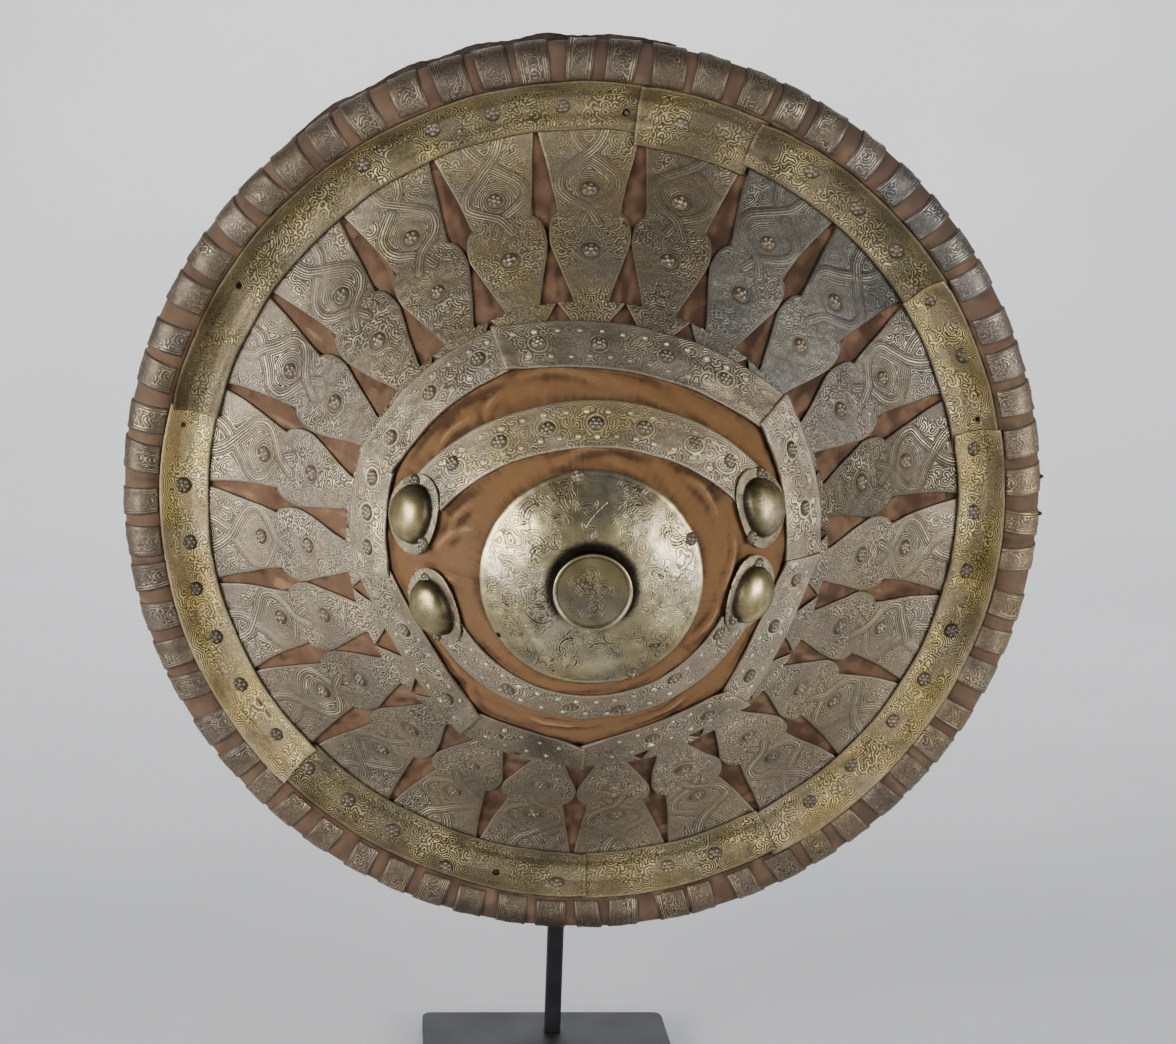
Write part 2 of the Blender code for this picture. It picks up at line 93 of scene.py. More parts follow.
# Radial plates
PLATE_COUNT = 23
PLATE_FIRST_ANGLE = math.radians(-0.8)
PLATE_CROWDING = math.radians(1.4)
PLATE_CROWDING_PHASE = math.radians(25)
PLATE_OUTER = 0.2080
PLATE_INNER = 0.1080
PLATE_NECK = 0.1636
PLATE_SHOULDER = 0.1510
PLATE_ANKLE = 0.1255
PLATE_TAIL_TIP = 0.1236
PLATE_BASE = 0.6 * MM
PLATE_TOP = 1.5 * MM
PLATE_STUDS = (0.1740, 0.1460)

# Outer gilt band
BAND_INNER = 0.2032
BAND_OUTER = 0.2296
BAND_MIDDLE = 0.216
BAND_CELL = 0.95 * MM
PATCH_INNER = 0.1965
BAND_JOINTS = (6.2, 22.8, 55.5, 77.7, 150.1, 178.5, 225.8, 283.2)

# Eight-cornered inner band: angle and radius of each corner, then the sag of the piece after it
INNER_BAND_MIDDLE = 0.112
INNER_BAND_HALF_WIDTH = 0.0094
INNER_BAND_CORNERS = (
    (336.0, 0.1102, 0.0080),
    (52.0, 0.1150, 0.0010),
    (92.0, 0.1080, 0.0080),
    (135.5, 0.1108, 0.0080),
    (180.5, 0.1140, 0.0042),
    (212.0, 0.1118, 0.0100),
    (263.0, 0.1090, 0.0000),
    (292.0, 0.1140, 0.0010),
)

# Arched bands: end angles, radius at the crest and at the ends, half width
UPPER_ARCH = (289.0, 424.0, 0.0725, 0.0880, 0.0098)
LOWER_ARCH = (108.0, 246.0, 0.0715, 0.0775, 0.0088)

# Small bosses: node, angle, radius, turn of the long axis
SMALL_BOSSES = (
    ("small_boss_upper_left", 283.5, 0.0895, 6.0),
    ("small_boss_upper_right", 70.3, 0.0882, -2.0),
    ("small_boss_lower_right", 98.8, 0.0800, -9.0),
    ("small_boss_lower_left", 253.0, 0.0790, 4.0),
)
FLANGE = (0.0400, 0.0350)
DOME = (0.0290, 0.0270)
DOME_HEIGHT = 0.0090

# Dish, the scratch on it, its empty nail hole and its studs: radius in millimetres and angle; then the knob
DISH_RADIUS = 0.0541
SCRATCH = ((28.9, -8.3), (40.5, 8.3))
DISH_HOLE = (53.0, 236.1)
DISH_STUDS = ((51.5, 350.5), (51.6, 65.3), (51.6, 154.8))
KNOB_RADIUS = 0.0191
KNOB_HEIGHT = 0.0070

# Chased lines: spacing and width left plain round a mark, in millimetres, and level of plain metal
LINE_PERIOD = 1.25
CORE = 0.35
PLAIN_LEVEL = 0.36


def face_height(radius):
    """Height of the cover's front above the rim's plane."""
    radius = np.asarray(radius, dtype=float)
    error = np.vectorize(math.erf)(radius / TIP_SOFTNESS)
    inward = np.maximum(BRIM_RADIUS - radius, 0.0) / FLARE_SOFTNESS
    flare = FLARE_SOFTNESS * np.log(np.cosh(inward))
    tip = TIP_SOFTNESS * math.sqrt(math.pi) / 2 * (1 - error)
    brim = BRIM_CURVE * np.maximum(radius - BRIM_RADIUS, 0.0) ** 2
    return np.where(radius > BRIM_RADIUS, brim, CONE_SLOPE * (flare - tip))


def make_section():
    """Section of the cover's front and rolled rim: arc length, radius, height and normal."""
    radii = np.arange(0.0, FACE_END, 0.5 * MM)
    face = np.column_stack((radii, face_height(radii)))
    turns = np.linspace(RIM_START, RIM_END, 100)
    roll_radii = RIM_RADIUS + RIM_ROLL * np.cos(turns)
    rim = np.column_stack((roll_radii, RIM_HEIGHT + RIM_ROLL * np.sin(turns)))
    line = np.vstack((face, rim))
    arc = np.concatenate(((0.0,), np.cumsum(np.linalg.norm(np.diff(line, axis=0), axis=1))))
    tangent = np.gradient(line, arc, axis=0)
    tangent /= np.linalg.norm(tangent, axis=1)[:, None]
    return arc, line[:, 0], line[:, 1], -tangent[:, 1], tangent[:, 0]


SECTION = make_section()
OUTERMOST = int(np.argmax(SECTION[1]))


def arc_of(radius):
    """Distance along the section from the tip to a radius on its front."""
    return np.interp(radius, SECTION[1][:OUTERMOST], SECTION[0][:OUTERMOST])


def radius_of(arc):
    """Radius at a distance along the section."""
    return np.interp(arc, SECTION[0], SECTION[1])


def section_points(arc, lift=0.0):
    """Radius and height of points on the section, lifted square to it."""
    radius = np.interp(arc, SECTION[0], SECTION[1]) + lift * np.interp(arc, SECTION[0], SECTION[3])
    height = np.interp(arc, SECTION[0], SECTION[2]) + lift * np.interp(arc, SECTION[0], SECTION[4])
    return radius, height


def world(radius, angle, height):
    """World points from radius, angle and height in the shield's own frame."""
    radius, angle, height = np.broadcast_arrays(radius, angle, height)
    across = (radius * np.sin(angle))[..., None] * RIGHT
    along = (radius * np.cos(angle))[..., None] * UPWARD
    return CENTRE + across + along + height[..., None] * FORWARD


def place(arc, angle, lift=0.0):
    """World points on the shield: distance along its section, angle, and lift off the cover."""
    arc, angle, lift = np.broadcast_arrays(arc, angle, lift)
    radius, height = section_points(arc, lift)
    return world(radius, angle, height)


def spot(radius, angle, lift):
    """Place of a stud, with its axes along the circle, outward along the face and off it."""
    arc = float(arc_of(radius))
    here = Vector(place(arc, angle, lift))
    outward = Vector(place(arc + MM, angle, lift)) - Vector(place(arc - MM, angle, lift))
    along = Vector(place(arc, angle + 0.01, lift)) - Vector(place(arc, angle - 0.01, lift))
    along.normalize()
    outward.normalize()
    return here, along, outward, along.cross(outward).normalized()


def new_piece(name, points, faces, material, replaced=(), values=None):
    """Object from points and faces, riding on the shield, with named values on its points."""
    mesh = bpy.data.meshes.new(name)
    mesh.from_pydata(np.asarray(points).tolist(), [], faces)
    mesh.validate()
    shape = bmesh.new()
    shape.from_mesh(mesh)
    bmesh.ops.recalc_face_normals(shape, faces=shape.faces)
    shape.to_mesh(mesh)
    shape.free()
    mesh.shade_smooth()
    for key, data in (values or {}).items():
        attribute = mesh.attributes.new(key, "FLOAT", "POINT")
        # points past the given values, the undersides, get full painted shade
        full = np.full(len(mesh.vertices), 1.0 if key == "groove" else 0.0, dtype=np.float32)
        data = np.asarray(data, dtype=np.float32).ravel()
        full[:len(data)] = data
        attribute.data.foreach_set("value", full)
    mesh.materials.append(material)
    piece = bpy.data.objects.new(name, mesh)
    bpy.context.scene.collection.objects.link(piece)
    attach(piece, BODY)
    if replaced:
        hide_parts(*replaced)


def grid_faces(index, wrap=False):
    """Quads between a grid of point numbers; wrap joins its last column to its first."""
    if wrap:
        index = np.hstack((index, index[:, :1]))
    quads = np.stack((index[:-1, :-1], index[:-1, 1:], index[1:, 1:], index[1:, :-1]), axis=-1)
    return quads.reshape(-1, 4).tolist()


def tube_faces(index):
    """Quads round a tube of point numbers, with a flat face at either end."""
    return grid_faces(index, wrap=True) + [index[0].tolist(), index[-1].tolist()]


def round_turns(count):
    """Evenly spaced angles round a circle."""
    return TAU * np.arange(count) / count


def rolled_out(arcs, turns):
    """Places in millimetres on the face, rolled out flat round its tip."""
    reach = arcs[:, None] / MM
    return np.sin(turns)[None, :] * reach, np.cos(turns)[None, :] * reach


def coarse(count, step):
    """Every so many places of a row, and its last one."""
    picked = list(range(0, count - 1, step))
    if count - 1 - picked[-1] < step / 2 and len(picked) > 1:
        picked.pop()
    return picked + [count - 1]


def sheet_parts(arc, angle, lift, base, row_step=7, column_step=9):
    """Points and faces of a closed thin sheet with a fine top and a coarser underside."""
    rows, columns = arc.shape
    kept_rows, kept_columns = coarse(rows, row_step), coarse(columns, column_step)
    under = np.ix_(kept_rows, kept_columns)
    base = np.broadcast_to(base, arc.shape)
    top = place(arc, angle, lift).reshape(-1, 3)
    bottom = place(arc[under], angle[under], base[under]).reshape(-1, 3)
    fine = np.arange(rows * columns).reshape(rows, columns)
    low = np.arange(len(bottom)).reshape(len(kept_rows), len(kept_columns)) + len(top)
    faces = grid_faces(fine) + grid_faces(low)
    sides = (
        (fine[0], low[0], kept_columns),
        (fine[-1], low[-1], kept_columns),
        (fine[:, 0], low[:, 0], kept_rows),
        (fine[:, -1], low[:, -1], kept_rows),
    )
    for line, low_line, kept in sides:
        for k in range(len(kept) - 1):
            edge = line[kept[k]:kept[k + 1] + 1].tolist()
            faces.append(edge + [int(low_line[k + 1]), int(low_line[k])])
    return np.vstack((top, bottom)), faces


def spaced(length, cell, edge):
    """Places from 0 to 1 along a length, with one narrow cell at either end."""
    count = max(int(round(length / cell)), 4)
    inner = np.linspace(edge / length, 1 - edge / length, count)
    return np.concatenate(((0.0,), inner, (1.0,)))


def smooth(low, high, value):
    """Smooth step from 0 to 1."""
    share = np.clip((value - low) / (high - low), 0.0, 1.0)
    return share * share * (3 - 2 * share)


def waves(rng, x, y, length, count=6):
    """Smooth uneven field made of a few waves of about the given length, within -1 to 1."""
    total = np.zeros(np.broadcast(x, y).shape)
    for _ in range(count):
        heading = rng.uniform(0, TAU)
        reach = length * rng.uniform(0.7, 1.6)
        phase = rng.uniform(0, TAU)
        total = total + np.sin(TAU * (x * math.cos(heading) + y * math.sin(heading)) / reach + phase)
    return total / count ** 0.5 / 1.4


def curve_through(points, spacing=0.6):
    """Evenly spaced samples of a smooth curve through points, in millimetres."""
    knots = np.array([points[0], *points, points[-1]], dtype=float)
    samples = []
    for k in range(1, len(knots) - 2):
        before, start, end, after = knots[k - 1:k + 3]
        count = max(int(np.linalg.norm(end - start) / spacing), 2)
        t = np.linspace(0, 1, count, endpoint=False)[:, None]
        samples.append(start + 0.5 * t * (end - before
                       + t * (2 * before - 5 * start + 4 * end - after
                              + t * (3 * (start - end) + after - before))))
    return np.vstack((*samples, knots[-1:]))


def bow(centre, radius, start, span, spacing=0.7):
    """Samples of an arc, in millimetres and radians."""
    count = max(int(abs(span) * radius / spacing), 1) + 1
    turns = start + np.linspace(0, span, count)
    return np.column_stack((centre[0] + radius * np.sin(turns), centre[1] + radius * np.cos(turns)))


def hairpins(rng, low, high, spacing, keep_out=()):
    """Short hooks scattered over a rectangle, which the chased lines nest round."""
    marks = []
    rows = int((high[1] - low[1]) / (spacing * 0.87)) + 1
    columns = int((high[0] - low[0]) / spacing) + 1
    for i in range(rows):
        for j in range(columns):
            x = low[0] + spacing * (j + 0.5 * (i % 2)) + rng.uniform(-1.1, 1.1)
            y = low[1] + spacing * 0.87 * i + rng.uniform(-1.1, 1.1)
            start = rng.uniform(0, TAU)
            span = rng.choice((0.8, 1.6, 2.6, 3.6))
            radius = rng.choice((1.5, 2.0, 2.8))
            if all(math.hypot(x - a, y - b) > gap for a, b, gap in keep_out):
                marks.append(bow((x, y), radius, start, span))
    return marks


def nearest(points, samples):
    """Distance of every point to the nearest of the samples."""
    best = np.full(len(points), np.inf)
    samples = np.asarray(samples, dtype=np.float32)
    for start in range(0, len(points), 1500):
        part = points[start:start + 1500].astype(np.float32)
        dx = part[:, 0:1] - samples[None, :, 0]
        dy = part[:, 1:2] - samples[None, :, 1]
        best[start:start + 1500] = np.sqrt((dx * dx + dy * dy).min(axis=1))
    return best


def follow(points, line, values):
    """Distance of every point to the nearest sample of a line, and the value that this sample has."""
    gap = np.full(len(points), np.inf)
    found = np.zeros(len(points))
    for sample, value in zip(line, values):
        step = np.linalg.norm(points - sample, axis=1)
        closer = step < gap
        gap[closer] = step[closer]
        found[closer] = value
    return gap, found


def set_edges(field, value):
    """Give the outermost rows and columns of a grid one value."""
    field[:, (0, -1)] = value
    field[(0, -1), :] = value


def chasing(x, y, marks, strands=(), width=2.9):
    """Chased ornament at points in millimetres: line phase, painted shade in its grooves and raised relief.

    Lines run side by side round the marks. A strand is a curve with a level that varies along
    it; its lines pass over whatever lies lower, between two grooves.
    """
    shape = np.shape(x)
    points = np.column_stack((np.ravel(x), np.ravel(y)))
    distance = nearest(points, np.vstack([*marks, *(line for line, _ in strands)]))
    groove = np.zeros(len(points))
    relief = 0.20 * np.exp(-(distance / 1.5) ** 2)
    top = np.full(len(points), -np.inf)
    for line, level in strands:
        gap, height = follow(points, line, level)
        over = (gap < width) & (height > top)
        # painted shade along the groove at each edge of a strand that passes over
        border = 0.6 * (1 - smooth(0.15, 0.65, np.abs(gap - width)))
        groove = np.where(over, border, np.maximum(groove, np.where(height > top, border, 0.0)))
        distance = np.where(over, gap, distance)
        relief = np.where(over, 0.30 * np.sqrt(np.clip(1 - (gap / width) ** 2, 0.05, 1)), relief)
        top = np.where(over, height, top)
    phase = np.maximum(distance - CORE, 0.0) / LINE_PERIOD
    return phase.reshape(shape), groove.reshape(shape), relief.reshape(shape)


def turned_parts(profile, columns, shift=0.0):
    """Closed turned body from rows of radius and height, each point shifted square to its row."""
    profile = np.asarray(profile)
    angle = round_turns(columns)
    tangent = np.gradient(profile, axis=0)
    tangent /= np.linalg.norm(tangent, axis=1)[:, None]
    shift = np.broadcast_to(shift, (len(profile), columns))
    radius = profile[:, :1] - shift * tangent[:, 1:]
    height = profile[:, 1:] + shift * tangent[:, :1]
    index = np.arange(shift.size).reshape(shift.shape)
    return world(radius, angle[None, :], height).reshape(-1, 3), tube_faces(index)


VALUES = ("weave", "chased", "groove", "tone", "gilt")


class Parts:
    """Points, faces and values of many small bodies that become one piece."""

    def __init__(self):
        self.points = []
        self.faces = []
        self.values = {}
        self.count = 0

    def add(self, points, faces, **values):
        """One more body; a value is a number, or a number for each of its first points."""
        points = np.asarray(points, dtype=float).reshape(-1, 3)
        self.faces += [[int(i) + self.count for i in face] for face in faces]
        self.points.append(points)
        for key in VALUES:
            data = np.ravel(values.get(key, 0.0))
            # points past the given values, a body's sunk rim and underside, get full painted shade
            full = np.full(len(points), 1.0 if key == "groove" and data.size > 1 else data[0])
            full[:data.size] = data
            self.values.setdefault(key, []).append(full)
        self.count += len(points)

    def piece(self, name, material, slot):
        """All bodies so far as one object."""
        values = {key: np.concatenate(data) for key, data in self.values.items()}
        new_piece(name, np.vstack(self.points), self.faces, material, values=values)


def dome_parts(where, size, height, rings=3, sides=8, sink=0.5 * MM):
    """Low dome: place with its axes, half length and half width, and height function or value."""
    centre, along, outward, normal = where
    shares = np.linspace(0, 1, rings + 1)[1:]
    turns = round_turns(sides)
    share, turn = np.meshgrid(shares, turns, indexing="ij")
    x, y = size[0] * share * np.sin(turn), size[1] * share * np.cos(turn)
    if callable(height):
        z, tip = height(share, turn), float(height(np.zeros(1), np.zeros(1))[0])
    else:
        z, tip = height * np.sqrt(np.clip(1 - share ** 2, 0, 1)), height
    axes = np.array((along, outward, normal))
    local = np.stack((x, y, z), axis=-1).reshape(-1, 3)
    rim = local[-sides:].copy()
    rim[:, 2] = -sink
    local = np.vstack((local, rim, ((0.0, 0.0, tip), (0.0, 0.0, -sink))))
    index = np.arange((rings + 1) * sides).reshape(rings + 1, sides)
    faces = grid_faces(index, wrap=True)
    for ring, middle in ((index[0], len(local) - 2), (index[-1], len(local) - 1)):
        faces += [[int(ring[k]), int(ring[(k + 1) % sides]), middle] for k in range(sides)]
    return np.array(centre) + local @ axes, faces, local[:rings * sides, 2] / float(np.max(local[:, 2]))


def rosette(pellets, height, turn=0.0):
    """Height of a stud's head: a low dome ringed by pellets round a middle one."""
    def height_at(share, angle):
        dome = 0.45 * np.sqrt(np.clip(1 - (share * 0.98) ** 2, 0, 1))
        x, y = share * np.sin(angle), share * np.cos(angle)
        bumps = 0.75 * np.exp(-((x ** 2 + y ** 2) / 0.055))
        for k in range(pellets):
            a = turn + TAU * k / pellets
            bumps = np.maximum(bumps, 0.62 * np.exp(-(((x - 0.60 * math.sin(a)) ** 2
                                                      + (y - 0.60 * math.cos(a)) ** 2) / 0.045)))
        return height * (dome + bumps)
    return height_at


def colour(red, green, blue):
    """Linear colour from display values of 0 to 255."""
    return tuple((v / 255 / 12.92) if v < 10.3 else ((v / 255 + 0.055) / 1.055) ** 2.4
                 for v in (red, green, blue)) + (1.0,)


class Finish:
    """A node material put together in a few calls."""

    def __init__(self, name):
        self.material = bpy.data.materials.new(name)
        self.material.use_nodes = True
        self.nodes = self.material.node_tree.nodes
        self.shader = self.nodes["Principled BSDF"]
        self.here = self.add("ShaderNodeTexCoord").outputs["Object"]

    def add(self, kind, **settings):
        node = self.nodes.new(kind)
        for key, value in settings.items():
            setattr(node, key, value)
        return node

    def feed(self, socket, value):
        if isinstance(value, bpy.types.NodeSocket):
            self.material.node_tree.links.new(value, socket)
        else:
            socket.default_value = value

    def math(self, operation, first, second=0.0, clamp=False):
        node = self.add("ShaderNodeMath", operation=operation, use_clamp=clamp)
        self.feed(node.inputs[0], first)
        self.feed(node.inputs[1], second)
        return node.outputs[0]

    def fit(self, value, low, high, to_low=0.0, to_high=1.0):
        node = self.add("ShaderNodeMapRange", interpolation_type="SMOOTHSTEP")
        for k, item in enumerate((value, low, high, to_low, to_high)):
            self.feed(node.inputs[k], item)
        return node.outputs[0]

    def value(self, name):
        return self.add("ShaderNodeAttribute", attribute_name=name).outputs["Fac"]

    def stretched(self, scale):
        node = self.add("ShaderNodeMapping")
        self.feed(node.inputs["Vector"], self.here)
        node.inputs["Scale"].default_value = scale
        return node.outputs[0]

    def noise(self, scale, detail=3.0, rough=0.55, where=None):
        node = self.add("ShaderNodeTexNoise")
        self.feed(node.inputs["Vector"], where or self.here)
        node.inputs["Scale"].default_value = scale
        node.inputs["Detail"].default_value = detail
        node.inputs["Roughness"].default_value = rough
        return node.outputs["Fac"]

    def cells(self, scale):
        node = self.add("ShaderNodeTexVoronoi")
        self.feed(node.inputs["Vector"], self.here)
        node.inputs["Scale"].default_value = scale
        return node.outputs["Distance"]

    def mix(self, share, first, second, blend="MIX"):
        node = self.add("ShaderNodeMix", data_type="RGBA", blend_type=blend)
        self.feed(node.inputs[0], share)
        self.feed(node.inputs[6], first)
        self.feed(node.inputs[7], second)
        return node.outputs[2]

    def ramp(self, share, *stops):
        node = self.add("ShaderNodeValToRGB")
        stones = node.color_ramp.elements
        while len(stones) < len(stops):
            stones.new(0.5)
        for stone, (place_on, shade) in zip(stones, stops):
            stone.position = place_on
            stone.color = shade
        self.feed(node.inputs[0], share)
        return node.outputs[0]

    def bump(self, height, distance, strength=1.0, under=None):
        node = self.add("ShaderNodeBump")
        node.inputs["Strength"].default_value = strength
        node.inputs["Distance"].default_value = distance
        self.feed(node.inputs["Height"], height)
        if under:
            self.feed(node.inputs["Normal"], under)
        return node.outputs[0]

    def done(self, shade, roughness, normal, metallic=0.0, **constants):
        self.feed(self.shader.inputs["Base Color"], shade)
        self.feed(self.shader.inputs["Roughness"], roughness)
        self.feed(self.shader.inputs["Normal"], normal)
        self.feed(self.shader.inputs["Metallic"], metallic)
        for key, value in constants.items():
            self.shader.inputs[key.replace("_", " ")].default_value = value
        return self.material


def chased_metal(name, bright, middle, dark, warm, roughness=0.42, engraved=False):
    """Chased sheet metal: bright worn lines, or engraved dark ones, with blotchy tarnish and gilding;
    painted shade in grooves, at edges and on undersides, painted glints in patches and a painted cool
    reflection.
    """
    f = Finish(name)
    wave = f.math("COSINE", f.math("MULTIPLY", f.value("weave"), TAU))
    crest = f.fit(wave, 0.25, 0.95, 1.0, 0.0) if engraved else f.fit(wave, -0.3, 1.0)
    plain = 1.0 if engraved else PLAIN_LEVEL
    rubbed = f.math("MULTIPLY", f.value("chased"), f.fit(f.noise(42.0, 4.0), 0.40, 0.62, 1.0, 0.35))
    crest = f.math("ADD", plain, f.math("MULTIPLY", f.math("SUBTRACT", crest, plain), rubbed))
    # painted shade: the groove value darkens grooves, edges and undersides
    level = f.math("MULTIPLY", crest, f.math("SUBTRACT", 1.0, f.value("groove")))
    if engraved:
        curl = f.math("COSINE", f.math("MULTIPLY", f.noise(62.0, 2.0, 0.45), 26 * TAU))
        patch = f.math("MULTIPLY", f.value("curls"), f.fit(f.noise(48.0, 2.0), 0.38, 0.58, 0.08, 0.5))
        level = f.math("SUBTRACT", level, f.math("MULTIPLY", f.fit(curl, 0.1, 0.9), patch))
    speck = f.math("SUBTRACT", f.noise(700.0, 4.0, 0.8), 0.5)
    shown = f.math("ADD", level, speck, True)
    shade = f.ramp(shown, (0.0, dark), (PLAIN_LEVEL, middle), (1.0, bright))
    patina = f.fit(f.noise(24.0, 6.0, 0.7), 0.46, 0.70)
    shade = f.mix(f.math("MULTIPLY", patina, 0.45), shade, dark)
    # painted cool reflection where the gilt value is below zero
    cool_reflection = f.fit(f.value("gilt"), 0.0, -0.8)
    shade = f.mix(cool_reflection, shade, f.mix(1.0, shade, COOL_REFLECTION_TINT, "MULTIPLY"))
    gilt = f.math("MULTIPLY", f.value("gilt"), f.fit(f.noise(34.0, 4.0), 0.30, 0.62), True)
    gilt = f.math("MULTIPLY", gilt, f.fit(shown, 0.15, 0.9, 0.3, 1.0))
    cool = f.math("MULTIPLY", f.fit(f.noise(27.0, 3.0), 0.42, 0.60), f.math("SUBTRACT", 1.0, gilt))
    shade = f.mix(cool, shade, f.mix(1.0, shade, COOL, "MULTIPLY"))
    shade = f.mix(gilt, shade, f.mix(1.0, shade, warm, "MULTIPLY"))
    blotch = f.math("MULTIPLY", f.math("SUBTRACT", f.noise(11.0, 3.0), 0.5), 0.7)
    # painted glints: crests made brighter in patches
    painted_glint = f.math("MULTIPLY", f.fit(f.noise(31.0, 4.0), 0.47, 0.66, 0.0, 0.55), f.fit(shown, 0.5, 1.0))
    tone = f.math("ADD", f.math("MULTIPLY", f.value("tone"), 0.45), f.math("ADD", blotch, painted_glint))
    tone = f.math("MAXIMUM", f.math("ADD", 1.0, tone), 0.03)
    tinted = f.add("ShaderNodeVectorMath", operation="SCALE")
    f.feed(tinted.inputs[0], shade)
    f.feed(tinted.inputs["Scale"], tone)
    rough = f.math("ADD", f.fit(level, 0.0, 1.0, 0.64, roughness), f.math("MULTIPLY", patina, 0.14))
    fine = f.bump(f.noise(1100.0, 3.0), 0.05 * MM, 0.6)
    lines = f.bump(level, 0.22 * MM, 0.8, fine)
    return f.done(tinted.outputs[0], rough, lines, 0.92 if engraved else 0.82)


def velvet_material():
    """Napped rust-brown velvet, with painted shade in its folds, beside the metal and on its darker side,
    and pale crests that are partly rubbed wear and partly painted highlight.
    """
    f = Finish("velvet")
    nap = f.noise(1400.0, 2.0, 0.7)
    brushed = f.noise(55.0, 4.0, 0.6, f.stretched((1.0, 1.0, 0.25)))
    broad = f.noise(14.0, 3.0, 0.5)
    shade = f.ramp(brushed, (0.25, colour(80, 60, 45)), (0.5, colour(106, 81, 61)),
                   (0.8, colour(134, 105, 80)))
    golden = f.math("MULTIPLY", f.value("golden"), f.fit(broad, 0.2, 0.6, 0.4, 1.0))
    shade = f.mix(golden, shade, colour(120, 88, 54))
    fold_shade_and_highlight = f.value("fold_shade_and_highlight")
    # painted shade in folds, beside the metal and on the darker side
    shade = f.mix(f.fit(fold_shade_and_highlight, -0.1, -1.0, 0.0, 0.75), shade, colour(44, 29, 21))
    # pale crests: rubbed wear with painted highlight, and the painted highlight of the lit rim
    shade = f.mix(f.fit(fold_shade_and_highlight, 0.2, 1.0, 0.0, 0.55), shade, colour(170, 134, 102))
    stain = f.math("MULTIPLY", f.value("stain"), f.fit(f.noise(160.0), 0.3, 0.55))
    shade = f.mix(stain, shade, colour(52, 34, 26))
    shade = f.mix(f.math("MULTIPLY", f.value("dust"), 0.45), shade, colour(92, 80, 69))
    shade = f.mix(f.fit(nap, 0.35, 0.75, 0.0, 0.35), shade, colour(80, 56, 40))
    normal = f.bump(nap, 0.25 * MM, 0.5, f.bump(brushed, 0.9 * MM, 0.5))
    return f.done(shade, 0.88, normal, 0.0, Sheen_Weight=0.15, Sheen_Roughness=0.45,
                  Sheen_Tint=colour(210, 170, 140), Specular_IOR_Level=0.2)


def hide_material():
    """Thick dark hide: pebbled grain, dull wax and scuffed high spots."""
    f = Finish("hide")
    grain = f.cells(260.0)
    creases = f.noise(35.0, 6.0, 0.62)
    shade = f.ramp(creases, (0.3, colour(38, 30, 25)), (0.55, colour(66, 52, 42)), (0.8, colour(98, 78, 60)))
    shade = f.mix(f.fit(grain, 0.0, 0.5, 0.5, 0.0), shade, colour(30, 24, 20))
    scuff = f.fit(f.noise(120.0, 3.0), 0.62, 0.78, 0.0, 0.5)
    shade = f.mix(scuff, shade, colour(130, 108, 84))
    normal = f.bump(grain, 0.5 * MM, 0.5, f.bump(creases, 1.6 * MM, 0.6))
    rough = f.fit(creases, 0.3, 0.8, 0.62, 0.85)
    return f.done(shade, rough, normal, 0.0, Specular_IOR_Level=0.35)


def leather_material(name, deep, light):
    """Smooth handled leather."""
    f = Finish(name)
    grain = f.cells(700.0)
    wear = f.noise(60.0, 4.0)
    shade = f.ramp(wear, (0.3, deep), (0.75, light))
    shade = f.mix(f.fit(grain, 0.0, 0.45, 0.45, 0.0), shade, deep)
    normal = f.bump(grain, 0.16 * MM, 0.5, f.bump(wear, 0.5 * MM, 0.4))
    return f.done(shade, f.fit(wear, 0.3, 0.8, 0.42, 0.66), normal)


def black_metal(name, low, high, roughness):
    """Powder-coated steel: fine orange peel, dust and faint handling marks."""
    f = Finish(name)
    peel = f.noise(1300.0, 1.0)
    dust = f.fit(f.noise(30.0, 5.0, 0.65), 0.35, 0.75)
    shade = f.mix(dust, low, high)
    rough = f.math("ADD", roughness, f.math("MULTIPLY", dust, 0.12))
    return f.done(shade, rough, f.bump(peel, 0.05 * MM, 0.6), 0.0, Specular_IOR_Level=0.5)


def thread_material():
    """Waxed thread."""
    f = Finish("waxed_thread")
    twist = f.noise(2500.0, 1.0)
    shade = f.ramp(twist, (0.3, colour(120, 96, 66)), (0.7, colour(176, 148, 108)))
    return f.done(shade, 0.7, f.bump(twist, 0.15 * MM, 0.8))


COOL = colour(238, 240, 250)
# tint of the painted cool reflection
COOL_REFLECTION_TINT = colour(224, 236, 252)
SILVER = chased_metal("silver", colour(212, 200, 168), colour(146, 133, 112), colour(103, 91, 75),
                      colour(255, 246, 188))
GILT = chased_metal("gilt", colour(238, 224, 170), colour(150, 135, 106), colour(108, 94, 70),
                    colour(255, 247, 194), 0.62)
BRONZED = chased_metal("bronzed_silver", colour(206, 192, 162), colour(112, 99, 84), colour(88, 77, 64),
                       colour(250, 238, 198), 0.32)
ENGRAVED = chased_metal("engraved_silver", colour(184, 173, 143), colour(106, 97, 80), colour(58, 50, 38),
                        colour(255, 244, 204), 0.30, engraved=True)
VELVET = velvet_material()
HIDE = hide_material()


def plate_angles():
    """Middle of each radial plate; they crowd together a little on one side."""
    even = PLATE_FIRST_ANGLE + round_turns(PLATE_COUNT)
    return even + PLATE_CROWDING * np.sin(even - PLATE_CROWDING_PHASE)


def plate_width(radius):
    """Width of a radial plate at a radius, as a share of the room between its neighbours."""
    flare = np.clip((PLATE_OUTER - radius) / (PLATE_OUTER - PLATE_NECK), 0, 1)
    bulge = np.clip((PLATE_NECK - radius) / (PLATE_NECK - PLATE_SHOULDER), 0, 1)
    taper = np.clip((PLATE_SHOULDER - radius) / (PLATE_SHOULDER - PLATE_ANKLE), 0, 1)
    tail = np.clip((PLATE_TAIL_TIP - radius) / (PLATE_TAIL_TIP - PLATE_INNER), 0, 1)
    width = 0.985 - 0.285 * flare ** 1.15
    width = np.where(bulge > 0, 0.70 + 0.30 * np.sqrt(1 - (1 - bulge) ** 2), width)
    width = np.where(taper > 0, 1 - 0.465 * taper ** 1.2, width)
    return np.where(radius <= PLATE_TAIL_TIP, 1 - 0.78 * tail, width)


